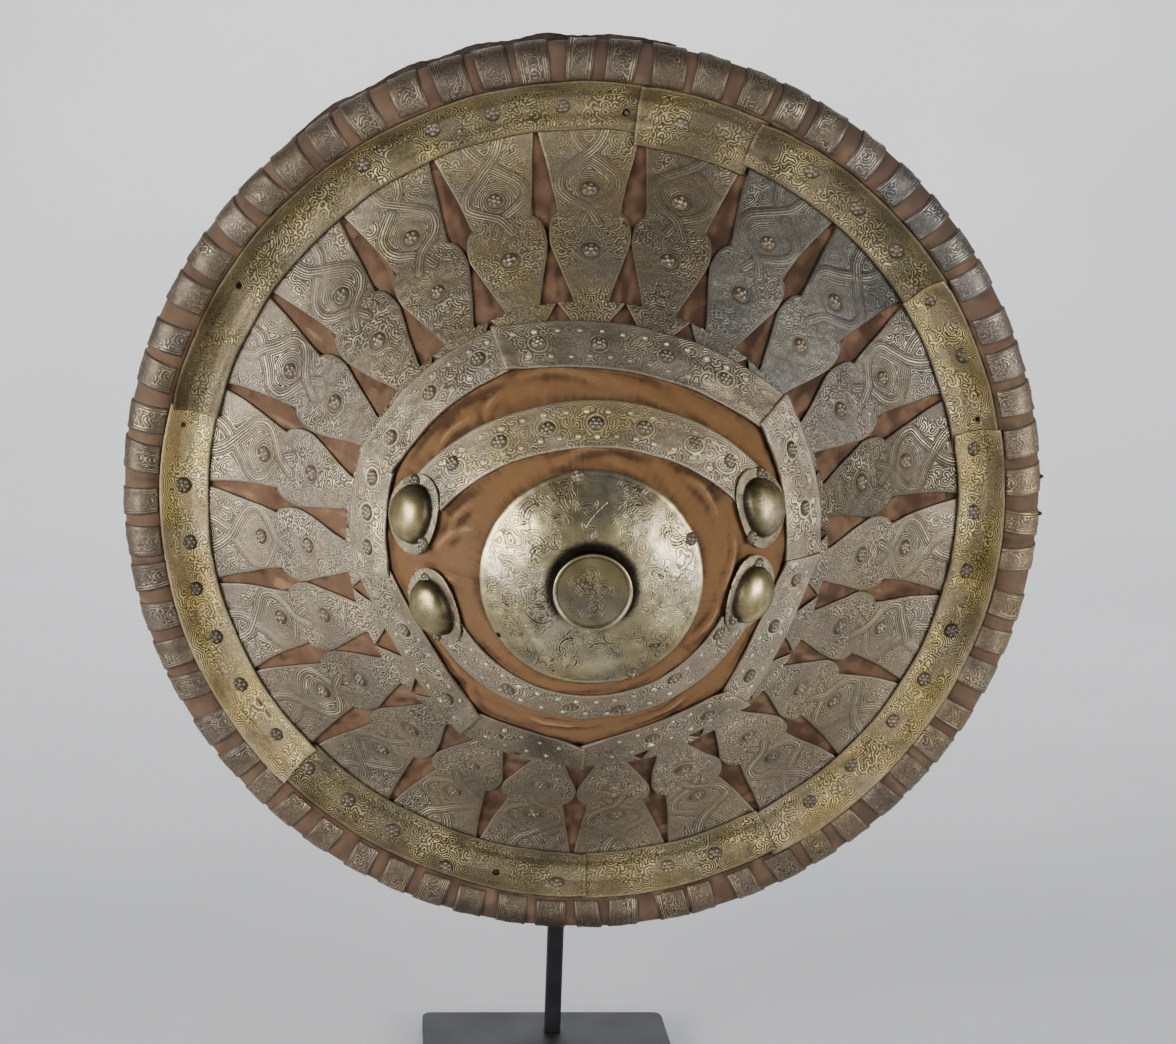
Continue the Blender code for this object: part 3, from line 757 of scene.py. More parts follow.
def plate_strands(rng, first_stud, end):
    """Two mirrored strands that cross on the plate's middle and loop round its upper stud."""
    shake = rng.uniform(-1, 1, 7)
    path = [(-9 + shake[0], -3), (-8 + shake[1], 5), (-5, 12 + shake[2]), (0, first_stud - 22 + shake[3]),
            (8 + shake[4], first_stud - 15), (15 + shake[5], first_stud - 9),
            (15.5 + shake[6], first_stud - 1), (11, first_stud + 5), (5, first_stud + 9),
            (0, first_stud + 13), (-4.5, end)]
    line = curve_through(path)
    side = rng.choice((-1, 1))
    level = side * np.cos(math.pi * 3 * np.linspace(0, 1, len(line)))
    mirrored = line * (-1, 1)
    return [(line, level), (mirrored, -level)]


# Tarnish of the plates, with painted light and shade that leaves the left side lighter: angle and tone
PLATE_TONES = ((0, -0.42), (20, -0.7), (45, -1.0), (62, -0.75), (80, -1.25), (92, -0.2), (125, -0.2),
               (150, 0.1), (185, -0.1), (215, -0.5), (240, -0.1), (270, 0.36), (290, -0.95), (310, -0.6),
               (330, -0.5), (345, 0.0), (360, -0.42))


def plate_tone(middle):
    """Tarnish, with painted light and shade, of a plate at an angle."""
    angles, tones = zip(*PLATE_TONES)
    return float(np.interp(math.degrees(middle) % 360, angles, tones))


def make_plate(k, middle, room):
    """One radial plate: baluster outline, hammered swell, chased knots and plain margins."""
    rng = np.random.default_rng(400 + k)
    start, end = arc_of(PLATE_INNER), arc_of(PLATE_OUTER)
    arcs = start + (end - start) * spaced(end - start, 0.9 * MM, 0.3 * MM)
    arcs = np.sort(np.concatenate((arcs, (arc_of(PLATE_ANKLE), arc_of(PLATE_TAIL_TIP)))))
    radius = radius_of(arcs)
    half = plate_width(radius) * (room / 2 - 0.2 * MM / radius)
    wander = 0.35 * MM * waves(rng, arcs / MM, 0 * arcs, 30) / radius
    across = 2 * spaced(0.05, 1.05 * MM, 0.3 * MM) - 1
    angle = middle + wander[:, None] + half[:, None] * across[None, :]
    arc = np.broadcast_to(arcs[:, None], angle.shape).copy()
    x = (angle - middle) * radius[:, None] / MM
    y = (end - arc) / MM
    studs = [float(end - arc_of(r)) / MM for r in PLATE_STUDS]
    length = float(end - start) / MM
    pins = hairpins(rng, (0.5, studs[0] + 14), (23, length), 5.8, [(0, studs[1], 6.5)])
    pins += hairpins(rng, (13, 4), (26, studs[0] - 14), 6.8)
    marks = pins + [line * (-1, 1) for line in pins]
    marks += [bow((0, v), 5.6, 0, TAU) for v in studs] + [bow((0, 1), 2.6, 0, TAU)]
    phase, groove, relief = chasing(x, y, marks, plate_strands(rng, studs[0], studs[0] + 22))
    side = (1 - np.abs(across))[None, :] * half[:, None] * radius[:, None] / MM
    plain = 1 - smooth(1.0, 1.9, side)
    if rng.random() < 0.5:
        plain = np.maximum(plain, smooth(14, 20, rng.choice((-1, 1)) * x) * (1 - smooth(12, 26, y)))
    worn = smooth(0.0, 0.8, waves(rng, x, y, 34))
    chased = (1 - plain) * (1 - 0.65 * worn)
    groove, relief = groove * (1 - plain), relief * (1 - plain)
    stud = np.minimum(*(np.hypot(x, y - v) for v in studs))
    # painted shade in a ring round each stud
    groove = np.maximum(groove, 0.8 * np.exp(-((stud - 5.0) / 0.9) ** 2)) * (1 - 0.5 * worn)
    swell = 0.25 * waves(rng, x, y, 26) + 0.10 * waves(rng, x, y, 9)
    lift = PLATE_TOP + MM * (relief - 0.18 * groove + swell)
    set_edges(lift, PLATE_BASE + 0.35 * MM)
    # painted shade on the plate's edges and side walls
    set_edges(groove, 0.9)
    points, faces = sheet_parts(arc, angle, lift, PLATE_BASE)
    gilt = 1.15 * math.exp(-(math.degrees((middle + math.pi) % TAU - math.pi + 0.25) / 34) ** 2) - 0.1
    gilt = gilt * smooth(-0.9, 0.5, waves(rng, x, y, 40) + 0.4)
    # painted cool reflection and shade on the upper right: bluer, darker at the outer end and lighter
    # further in
    cool_reflection = math.exp(-((math.degrees(middle) - 42) / 21) ** 2)
    tone = rng.uniform(-0.2, 0.2) + plate_tone(middle) + cool_reflection * (1.1 - 1.7 * (1 - smooth(5, 75, y)))
    chased = chased * (1 - 0.5 * cool_reflection)
    gilt = np.clip(gilt, 0, 1) - cool_reflection
    values = {"weave": phase, "chased": chased, "groove": groove, "gilt": gilt, "tone": tone}
    node = f"radial_plate_{k + 1:02d}"
    new_piece(f"chased_plate_{k + 1:02d}", points, faces, SILVER, (node,), values)


def make_plates():
    """All radial plates, each as wide as its nearer neighbour leaves room for."""
    angles = plate_angles()
    before = np.diff(np.concatenate(((angles[-1] - TAU,), angles)))
    after = np.diff(np.concatenate((angles, (angles[0] + TAU,))))
    for k, middle in enumerate(angles):
        make_plate(k, middle, min(before[k], after[k]))


# Creases of the velvet round the dish: radius in millimetres and angle of either end, and depth;
# then the place of its stain, and the inner and outer radius of the stretch that lies open
CREASES = (
    (94.5, 329.6, 89.1, 322.8, 1.0), (92.9, 303.3, 92.4, 319.3, 1.2), (76.5, 275.5, 62.1, 290.1, 1.3),
    (89.7, 265.3, 59.4, 264.2, 1.1), (66.1, 41.1, 67.8, 63.6, 1.2), (73.0, 72.0, 64.7, 97.8, 1.4),
    (87.8, 221.7, 102.5, 210.5, 0.9), (103.4, 289.7, 99.6, 331.5, 1.2), (98.2, 337.4, 91.0, 361.1, 1.1),
    (59.7, -16.8, 64.9, 19.3, 1.2), (65.4, 302.1, 71.9, 284.1, 1.3), (82.5, 38.8, 89.6, 57.6, 1.0),
    (59.5, 122.7, 65.6, 101.1, 1.2), (83.9, 250.7, 87.8, 221.7, 1.2), (88.5, 201.5, 88.5, 177.7, 1.2),
    (90.7, 161.2, 85.9, 141.3, 1.1),
)
STAIN = (72.5, 54.4)
OPEN_VELVET = (0.048, 0.118)


def crease_line(near, near_angle, far, far_angle):
    """Slightly bowed line of samples on the face between two places."""
    t = np.linspace(0, 1, 24)
    radius = (near + (far - near) * t + 1.8 * np.sin(math.pi * t)) * MM
    angle = np.radians(near_angle + (far_angle - near_angle) * t)
    return place(arc_of(radius), angle), np.sin(math.pi * np.clip(t, 0.06, 0.94)) ** 0.6


def metal_gap(radius, angle):
    """Distance in millimetres from the bare velvet to the nearest edge of a band, an arch or the dish."""
    degrees = np.degrees(angle) % 360
    edge = np.zeros(np.broadcast(radius, angle).shape)
    for k, (start, _, _) in enumerate(INNER_BAND_CORNERS):
        share = ((degrees - start) % 360) / inner_band_span(k)
        edge = np.where(share < 1, inner_band_middle(k, share) - INNER_BAND_HALF_WIDTH + 0 * radius, edge)
    gap = np.where(radius < edge, edge - radius, 1.0)
    gap = np.minimum(gap, np.where(radius > DISH_RADIUS, radius - DISH_RADIUS, 1.0))
    for start, end, crest, end_radius, half in (UPPER_ARCH, LOWER_ARCH):
        share = 2 * ((degrees - start) % 360) / (end - start) - 1
        beyond = np.abs(radius - crest - (end_radius - crest) * share ** 2) - half
        gap = np.minimum(gap, np.where((share < 1) & (beyond > 0), beyond, 1.0))
    return gap / MM


def lit_side(angle):
    """Share of the stretch of the rim with a painted highlight, low on the right."""
    return np.exp(-((np.degrees(angle) - 100) / 22) ** 2)


def make_velvet():
    """Velvet cover: creased where it shows, puckered between the plates, wrapped round the rim."""
    rng = np.random.default_rng(71)
    rolled = SECTION[0][-1]
    stations = np.concatenate((
        np.linspace(1 * MM, arc_of(0.050), 8), np.linspace(arc_of(0.051), arc_of(0.104), 64),
        np.linspace(arc_of(0.1055), arc_of(0.203), 66), np.linspace(arc_of(0.206), arc_of(FACE_END), 5),
        np.linspace(arc_of(0.2260), rolled, 30)))
    radius, height = section_points(stations)
    columns = 288
    angle = round_turns(columns)
    surface = place(stations[:, None], angle[None, :])
    shift = np.zeros((len(stations), columns))
    fold_shade_and_highlight = np.zeros_like(shift)
    flat = surface.reshape(-1, 3)
    open_rows = (radius > OPEN_VELVET[0]) & (radius < OPEN_VELVET[1]) & (stations < arc_of(0.12))
    shown = np.repeat(open_rows, columns)
    for near, near_angle, far, far_angle, depth in CREASES:
        line, taper = crease_line(near, near_angle, far, far_angle)
        gap, fade = follow(flat[shown], line, taper)
        gap = gap / MM
        shape = np.exp(-(gap / 1.6) ** 2) - 0.5 * np.exp(-((gap - 4.2) / 2.4) ** 2)
        shift.ravel()[shown] += 0.7 * depth * MM * fade * shape
        # colour of a crease: pale along its middle, painted shade in the hollow beside it
        fold_shade_and_highlight.ravel()[shown] += depth * fade * shape
    y = stations[:, None] / MM
    x_flat, y_flat = rolled_out(stations, angle)
    pucker = waves(rng, x_flat, y_flat, 17, 8)
    fine = waves(rng, x_flat, y_flat, 7, 8)
    room = np.where(open_rows, 1.0, 0.35)[:, None] * smooth(0.046, 0.056, radius)[:, None]
    shift += MM * room * (0.42 * pucker + 0.16 * fine)
    drawn = waves(rng, 180 * np.cos(angle)[None, :] + 0 * y, 180 * np.sin(angle)[None, :] + 0.15 * y, 9, 8)
    along = waves(rng, 20 * np.cos(angle)[None, :] + 0 * y, 20 * np.sin(angle)[None, :] + y, 13, 8)
    inside = 1 - smooth(0.10, 0.13, radius)[:, None]
    shift += 0.35 * MM * room * along * inside
    # puckers and streaks: pale on their crests, painted shade in their hollows
    fold_shade_and_highlight += ((0.40 - 0.33 * inside) * pucker + (0.2 - 0.14 * inside) * fine
             + 0.55 * drawn * (1 - 0.7 * inside) + 0.28 * along * inside)
    # painted shadow beside the bands, arches and dish
    fold_shade_and_highlight -= 0.62 * np.exp(-(metal_gap(radius[:, None], angle[None, :]) / 3.6) ** 2)
    # painted shade on the wedges and the rim: darker at the top, the bottom and the right, lighter on the
    # left
    shaded = 0.22 + 0.38 * np.cos(angle) ** 2 + 0.3 * np.sin(angle)
    fold_shade_and_highlight -= shaded[None, :] * smooth(0.108, 0.112, radius)[:, None]
    rim = smooth(0.226, 0.236, radius)[:, None] * np.ones(columns)
    # painted highlight on the lit stretch of the rim, low on the right, and painted shade on the rest of the
    # rim
    fold_shade_and_highlight += rim * (0.8 * lit_side(angle)[None, :] - 0.2)
    stained = place(arc_of(STAIN[0] * MM), math.radians(STAIN[1]))
    reach = np.linalg.norm(surface - stained, axis=-1) / MM
    around = np.arctan2(surface[..., 0] - stained[0], surface[..., 2] - stained[2])
    stain = 1 - smooth(2.0, 6.5, reach * (1 - 0.35 * np.cos(4 * around)))
    under_stations = np.concatenate((stations[:138:14], stations[138:144], stations[146::5]))[::-1]
    under_radius, under_height = section_points(under_stations, -COVER_THICKNESS)
    profile = np.vstack((np.column_stack((radius, height)), np.column_stack((under_radius, under_height))))
    full_shift = np.zeros((len(profile), columns))
    full_shift[:len(shift)] = shift
    full_shift[len(shift) - 1] = 0
    points, faces = turned_parts(profile, columns, full_shift)
    golden = (1 - smooth(0.095, 0.125, radius))[:, None] * np.ones(columns)
    new_piece("velvet_skin", points, faces, VELVET, ("velvet_cover",),
              {"fold_shade_and_highlight": fold_shade_and_highlight, "stain": stain, "golden": golden, "dust": rim})


def make_hide():
    """Hide shell: hidden front, rolled rim with a rough edge, and a pebbled hollow back."""
    rng = np.random.default_rng(19)
    gap = -(COVER_THICKNESS + 0.3 * MM)
    front = np.column_stack(section_points(np.linspace(1 * MM, arc_of(FACE_END), 14), gap))
    roll = np.column_stack(section_points(np.linspace(arc_of(0.2268), SECTION[0][-1], 26), gap))
    back_arcs = np.linspace(arc_of(0.205), 1 * MM, 100)
    back = np.column_stack(section_points(back_arcs, gap - HIDE_THICKNESS))
    profile = np.vstack((front, roll, back))
    columns = 220
    shift = np.zeros((len(profile), columns))
    x_flat, y_flat = rolled_out(back_arcs, round_turns(columns))
    rough = 0.8 * waves(rng, x_flat, y_flat, 60) + 0.45 * waves(rng, x_flat, y_flat, 16, 8)
    rough += 0.22 * waves(rng, x_flat, y_flat, 7, 8)
    shift[-len(back):] = MM * np.minimum(rough, 0.9)
    points, faces = turned_parts(profile, columns, shift)
    new_piece("hide_body", points, faces, HIDE, ("hide_shell",))


def band_piece(name, rng, arcs_low, arcs_high, angles, lift, base, marks_for, material, node, tone,
               gilt, holes=(), overlapping=False):
    """A length of band: its inner and outer arc may vary along it; the chasing keeps off its edges."""
    width = float(np.mean(arcs_high - arcs_low))
    shares = spaced(width, 0.88 * MM, 0.3 * MM)
    arc = arcs_low[None, :] + (arcs_high - arcs_low)[None, :] * shares[:, None]
    angle = np.broadcast_to(angles, arc.shape)
    middle_radius = float(np.mean(radius_of((arcs_low + arcs_high) / 2)))
    x = (angle - angles[0]) * middle_radius / MM
    y = (arc - arcs_low[None, :]) / MM
    marks, margin = marks_for(rng, float(x.max()), width / MM, angles[0], middle_radius)
    phase, groove, relief = chasing(x, y, marks)
    edge = np.minimum(y, (arcs_high[None, :] - arc) / MM)
    ends = np.minimum(x, x.max() - x)
    plain = np.maximum(1 - smooth(margin - 0.4, margin + 0.5, edge), 1 - smooth(0.8, 1.6, ends))
    chased = 0.9 * (1 - plain) * (1 - 0.8 * smooth(0.0, 0.8, waves(rng, x, y, 24)))
    relief = relief * (1 - plain)
    swell = 0.34 * waves(rng, x, y, 26) + 0.15 * waves(rng, x, y, 10)
    rib = 0.12 * np.exp(-((edge - margin) / 0.7) ** 2)
    flap = FLAP_RISE * (1 - smooth(2.0, 11.0, x)) if overlapping else 0.0
    low = (base(arc) if callable(base) else base) + flap + 0 * arc
    raised = low + lift + MM * (relief + swell + rib)
    raised[(0, -1), :] = low[(0, -1), :] + 0.35 * lift
    raised[:, (0, -1)] = low[:, (0, -1)] + 0.35 * lift
    # painted shade on the band's edges and side walls
    set_edges(groove, 0.9)
    tone = np.full(phase.shape, tone) + 0.32 * waves(rng, x, y, 30)
    if overlapping:
        # painted highlight on the lap's raised edge, painted shadow where the next lap covers the end
        covered = x.max() - FLAP_LAP
        tone += 0.6 * (1 - smooth(0.6, 2.0, x)) - 1.3 * smooth(covered - 3.0, covered, x)
    for r, degrees in holes:
        step = ((math.radians(degrees) - angles[0] + 0.1) % TAU - 0.1) * middle_radius / MM
        reach = np.hypot(x - step, (arc - arc_of(r * MM)) / MM)
        # painted shade in each empty nail hole, over a shallow dent
        tone -= 3 * (1 - smooth(1.2, 2.0, reach))
        raised -= 0.6 * MM * (1 - smooth(0.8, 2.2, reach))
    points, faces = sheet_parts(arc, angle, raised, low)
    glow = np.clip(gilt(x / x.max()) if callable(gilt) else gilt * (1 + 0.6 * waves(rng, x, y, 35)), 0, 1)
    values = {"weave": phase, "chased": chased, "groove": groove, "gilt": glow, "tone": tone}
    new_piece(name, points, faces, material, (node,), values)


# Studs of the outer band, and its empty nail holes: radius in millimetres and angle
BAND_STUDS = (
    (219.9, 325.8), (219.4, 336.6), (218.0, 345.1), (216.5, 354.8), (211.9, 11.7), (218.3, 31.3),
    (218.1, 39.6), (217.7, 47.9), (218.3, 56.4), (222.0, 65.8), (215.2, 79.5), (214.1, 89.2),
    (215.7, 98.2), (218.6, 107.5), (216.8, 115.9), (216.0, 123.8), (216.1, 133.0), (217.7, 141.5),
    (220.4, 157.9), (219.7, 165.2), (224.5, 182.0), (226.6, 198.4), (220.1, 207.7), (218.0, 215.8),
    (218.4, 223.6), (217.7, 230.6), (217.6, 239.9), (217.2, 248.0), (219.4, 255.8), (216.9, 262.8),
    (218.8, 271.3),
)
BAND_HOLES = ((220.9, 301.5), (221.7, 280.1), (213.6, 3.7), (222.4, 191.0), (219.9, 75.3))

# Outer band: tone and gilding of each length, and shift of its two ends in millimetres; tones of the
# inner band; then how far a lap stands up and how far it reaches
OUTER_TONES = ((-0.85, 0.4), (-1.15, 0.3), (-0.35, 0.7), (0.05, 0.8), (-0.5, 0.4), (-0.85, 0.25),
               (1.1, 1.0), (-0.95, 0.5))
OUTER_SHIFTS = ((0.0, 0.0), (-0.8, 0.4), (-0.4, -0.9), (0.7, 1.5), (-0.9, 0.3), (-0.3, -1.1),
                (1.5, 0.4), (-0.6, 0.4))
INNER_TONES = (-0.15, 0.75, 0.7, 0.1, -0.45, -0.20, 0.25, -0.1)
FLAP_RISE = 1.25 * MM
FLAP_LAP = 3.2 * MM


def outer_band_base(arc):
    """Lift of the gilt band's underside: over the plates' ends, then down on the brim."""
    over, down = arc_of(PLATE_OUTER + 0.3 * MM), arc_of(BRIM_RADIUS)
    return MM * (2.4 - 1.8 * smooth(over, down, arc))


def outer_marks(rng, length, width, start, radius):
    """Hooks all over the gilt band, clear of its studs and holes."""
    places = []
    for r, degrees in BAND_STUDS + BAND_HOLES:
        x = ((math.radians(degrees) - start) % TAU) * radius / MM
        if x < length:
            places.append((x, float(arc_of(r * MM) - arc_of(radius)) / MM + width / 2))
    marks = hairpins(rng, (1.5, 3.6), (length, width - 3.0), 5.6, [(x, y, 6.5) for x, y in places])
    return marks, 1.4


def make_outer_band():
    """Eight lengths of gilt band round the brim, each lapping over the end of the one before."""
    rng = np.random.default_rng(210)
    for k, joint in enumerate(BAND_JOINTS):
        following = BAND_JOINTS[(k + 1) % len(BAND_JOINTS)]
        start = math.radians(joint) - FLAP_LAP / BAND_INNER
        end = math.radians(following if following > joint else following + 360)
        tone, gilt = OUTER_TONES[k]
        length = (end - start) * BAND_MIDDLE
        count = int(length / BAND_CELL)
        angles = start + (end - start) * spaced(length, BAND_CELL, 0.3 * MM)
        inner = PATCH_INNER if k == 0 else BAND_INNER
        wander = MM * waves(rng, np.linspace(0, count, len(angles)), 0.0, 60)
        shift = MM * np.interp(angles, (start, end), OUTER_SHIFTS[k])
        low = arc_of(inner) + 0.65 * wander + shift
        high = arc_of(BAND_OUTER) + 0.45 * wander[::-1] + shift
        band_piece(f"gilt_band_{k + 1}", rng, low, high, angles, 1.0 * MM, outer_band_base, outer_marks,
                   GILT, f"outer_band_{k + 1}", tone, gilt, BAND_HOLES, True)


def pellet_rows(rng, length, width):
    """Places of two staggered rows of pellets along a band, in millimetres."""
    pitch = 10.5
    places = []
    for row, share in enumerate((0.24, 0.76)):
        count = int((length - 4) / pitch)
        for k in range(count):
            places.append((3 + pitch * (k + 0.5 * row) + rng.uniform(-0.4, 0.4),
                           width * share + rng.uniform(-0.5, 0.5)))
    return places


# Rosettes: angles on the inner band, then radius in millimetres and angle on the arches
INNER_ROSETTES = (0.6, 19.0, 35.7, 61.7, 77.2, 96.5, 110.6, 127.0, 143.2, 159.7, 173.3,
                  203.4, 220.6, 244.6, 268.5, 277.5, 286.5, 298.0, 313.3, 328.6, 344.6)
UPPER_ROSETTES = ((83.9, 304.9), (76.5, 323.0), (72.7, 341.3), (72.4, 359.9), (74.5, 18.3), (79.8, 37.5),
                  (85.3, 51.2))
LOWER_ROSETTES = ((74.8, 211.0), (71.5, 185.7), (74.1, 166.8), (69.3, 141.3), (71.6, 116.0))


class Pelleted:
    """Chasing round two rows of pellets and the rosettes between them; it keeps their places."""

    def __init__(self, rosettes):
        self.rosettes = rosettes
        self.pellets = []

    def __call__(self, rng, length, width, start, radius):
        centres = []
        for _, degrees in self.rosettes:
            x = ((math.radians(degrees) - start + 0.2) % TAU - 0.2) * radius / MM
            if 0 < x < length:
                centres.append((x, width / 2))
        marks = [bow(at, 4.8, 0, TAU) for at in centres]
        for x, y in pellet_rows(rng, length, width):
            if x > length - 2 or any(math.hypot(x - a, y - b) < 6.0 for a, b in centres):
                continue
            marks.append(bow((x, y), 1.3, 0, TAU))
            self.pellets.append((x / length, y / width))
        marks += hairpins(rng, (1, 1.5), (length, width - 1), 7.4, [(x, y, 6.5) for x, y in centres])
        return marks, 1.0


def pellet_spots(marks_for, arcs_low, arcs_high, angles, lift):
    """Place and axes of each pellet that a band's chasing left room for."""
    spots = []
    for along, across in marks_for.pellets:
        angle = float(angles[0] + (angles[-1] - angles[0]) * along)
        low, high = (float(np.interp(angle, angles, arcs)) for arcs in (arcs_low, arcs_high))
        arc = low + (high - low) * across
        spots.append(spot(float(radius_of(arc)), angle, float(lift(arc))))
    return spots


def add_pellets(pellets, marks_for, arcs_low, arcs_high, angles, lift, **values):
    """Low domes in the places that a band's chasing left for them."""
    for where in pellet_spots(marks_for, arcs_low, arcs_high, angles, lift):
        pellets.add(*dome_parts(where, (PELLET[0], PELLET[0]), PELLET[1])[:2], chased=1.0, **values)


def inner_band_span(k):
    """Degrees from a corner of the inner band to the next."""
    return (INNER_BAND_CORNERS[(k + 1) % len(INNER_BAND_CORNERS)][0] - INNER_BAND_CORNERS[k][0]) % 360


def inner_band_middle(k, share):
    """Radius of an inner band length's middle line at a share of its way."""
    _, radius, sag = INNER_BAND_CORNERS[k]
    next_radius = INNER_BAND_CORNERS[(k + 1) % len(INNER_BAND_CORNERS)][1]
    return radius + (next_radius - radius) * share - 4 * sag * share * (1 - share)


def inner_rosettes():
    """Places of the rosettes, each on the middle line of its length of band."""
    places = []
    for k, (degrees, _, _) in enumerate(INNER_BAND_CORNERS):
        for rosette_at in INNER_ROSETTES:
            share = ((rosette_at - degrees) % 360) / inner_band_span(k)
            if share < 1:
                places.append((float(inner_band_middle(k, share)) / MM, rosette_at))
    return places


def inner_band_base(arc):
    """Lift of the inner band's underside: over the plates' ends, then down towards the velvet."""
    return MM * (0.9 + 1.5 * smooth(arc_of(0.0985), arc_of(0.1075), arc))


def make_inner_band():
    """Eight lengths of silver band in an uneven octagon; gives the pellets on them."""
    rng = np.random.default_rng(115)
    pellets = Parts()
    rosettes = inner_rosettes()
    for k, (degrees, radius, _) in enumerate(INNER_BAND_CORNERS):
        start = math.radians(degrees) - FLAP_LAP / radius
        end = math.radians(degrees + inner_band_span(k))
        angles = start + (end - start) * spaced((end - start) * INNER_BAND_MIDDLE, BAND_CELL, 0.3 * MM)
        share = (angles - start) / (end - start)
        middle = inner_band_middle(k, share)
        wander = 0.35 * MM * waves(rng, share * 100, 0 * share, 40)
        low = arc_of(middle - INNER_BAND_HALF_WIDTH) + wander
        high = arc_of(middle + INNER_BAND_HALF_WIDTH) + wander
        chased = Pelleted(rosettes)
        band_piece(f"silver_band_{k + 1}", rng, low, high, angles, 1.0 * MM, inner_band_base, chased,
                   SILVER, f"inner_band_{k + 1}", INNER_TONES[k], 0.1, overlapping=True)
        add_pellets(pellets, chased, low, high, angles, lambda arc: inner_band_base(arc) + 0.9 * MM,
                    tone=INNER_TONES[k])
    return pellets


def arch_gilding(share):
    """Gilding of the upper arch, rubbed off towards its ends."""
    return 1.35 * np.exp(-((share - 0.42) / 0.33) ** 2)


def make_arch(name, node, arch, rosettes, gilt, seed):
    """One arched band: its middle radius grows from the crest towards both ends."""
    rng = np.random.default_rng(seed)
    start, end, crest, end_radius, half = arch
    start, end = math.radians(start), math.radians(end)
    angles = start + (end - start) * spaced((end - start) * crest, 0.85 * MM, 0.3 * MM)
    share = (2 * angles - start - end) / (end - start)
    middle = crest + (end_radius - crest) * share ** 2
    wander = 0.3 * MM * waves(rng, share * 90, 0 * share, 40)
    low, high = arc_of(middle - half) + wander, arc_of(middle + half) + wander
    chased = Pelleted(rosettes)
    band_piece(name, rng, low, high, angles, 0.9 * MM, 0.6 * MM, chased, SILVER, node, 0.5, gilt)
    pellets = Parts()
    add_pellets(pellets, chased, low, high, angles, lambda _: 1.5 * MM,
                gilt=0.5 if callable(gilt) else gilt)
    return pellets


# Pellets of the bands: radius and height
PELLET = (1.2 * MM, 0.9 * MM)

# Studs that hold the small bosses down: radius in millimetres and angle
BOSS_STUDS = ((93.5, 292.5), (81.5, 275.5), (79.7, 263.0), (83.3, 242.6),
              (93.8, 61.5), (79.5, 78.0), (82.0, 88.6), (74.3, 108.0))


def make_studs():
    """Rosette-headed studs of the plates, bands, arches and dish."""
    rng = np.random.default_rng(33)

    def head(parts, radius, degrees, lift, size, pellets, tone=0.0, gilt=0.0):
        """One stud; those on the brim are turned a little towards the front."""
        here, along, outward, normal = spot(radius * MM, math.radians(degrees), lift * MM)
        if radius > 210:
            normal = (normal + 1.5 * Vector(FORWARD)).normalized()
            outward = normal.cross(along).normalized()
        where = here, along, outward, normal
        shape = rosette(pellets, 1.7 * MM * rng.uniform(0.8, 1.15), rng.uniform(0, TAU))
        wide = size * MM * rng.uniform(0.94, 1.05)
        points, faces, raised = dome_parts(where, (wide, wide), shape, 7, 24)
        # painted shade between the pellets and at the foot of the head
        parts.add(points, faces, chased=0.8, groove=0.95 * (1 - smooth(0.35, 0.85, raised)),
                  tone=tone + rng.uniform(-0.3, 0.1), gilt=gilt)

    plates, gilded, silver = Parts(), Parts(), Parts()
    for middle in plate_angles():
        for r in PLATE_STUDS:
            degrees = math.degrees(middle) + rng.uniform(-0.4, 0.4)
            head(plates, r / MM, degrees, 1.5, 4.2, int(rng.integers(4, 7)))
    for r, degrees in BAND_STUDS:
        head(gilded, r, degrees, 1.6, 4.4, int(rng.integers(5, 7)), tone=-0.5)
    for r, degrees in inner_rosettes():
        head(silver, r, degrees, float(inner_band_base(arc_of(r * MM))) / MM + 1.0, 4.0, 6, -0.2)
    for rosettes, gilt in ((UPPER_ROSETTES, 0.2), (LOWER_ROSETTES, 0.0)):
        for r, degrees in rosettes:
            head(silver, r, degrees, 1.5, 4.0, 6, -0.3, gilt)
    for r, degrees in DISH_STUDS:
        head(silver, r, degrees, 1.3, 3.4, 4, 0.0)
    for r, degrees in BOSS_STUDS:
        head(silver, r, degrees, 3.2, 3.8, 5, -0.35)
    plates.piece("plate_studs", SILVER, "silver")
    gilded.piece("outer_band_studs", SILVER, "gilt")
    silver.piece("band_rosettes", SILVER, "silver")


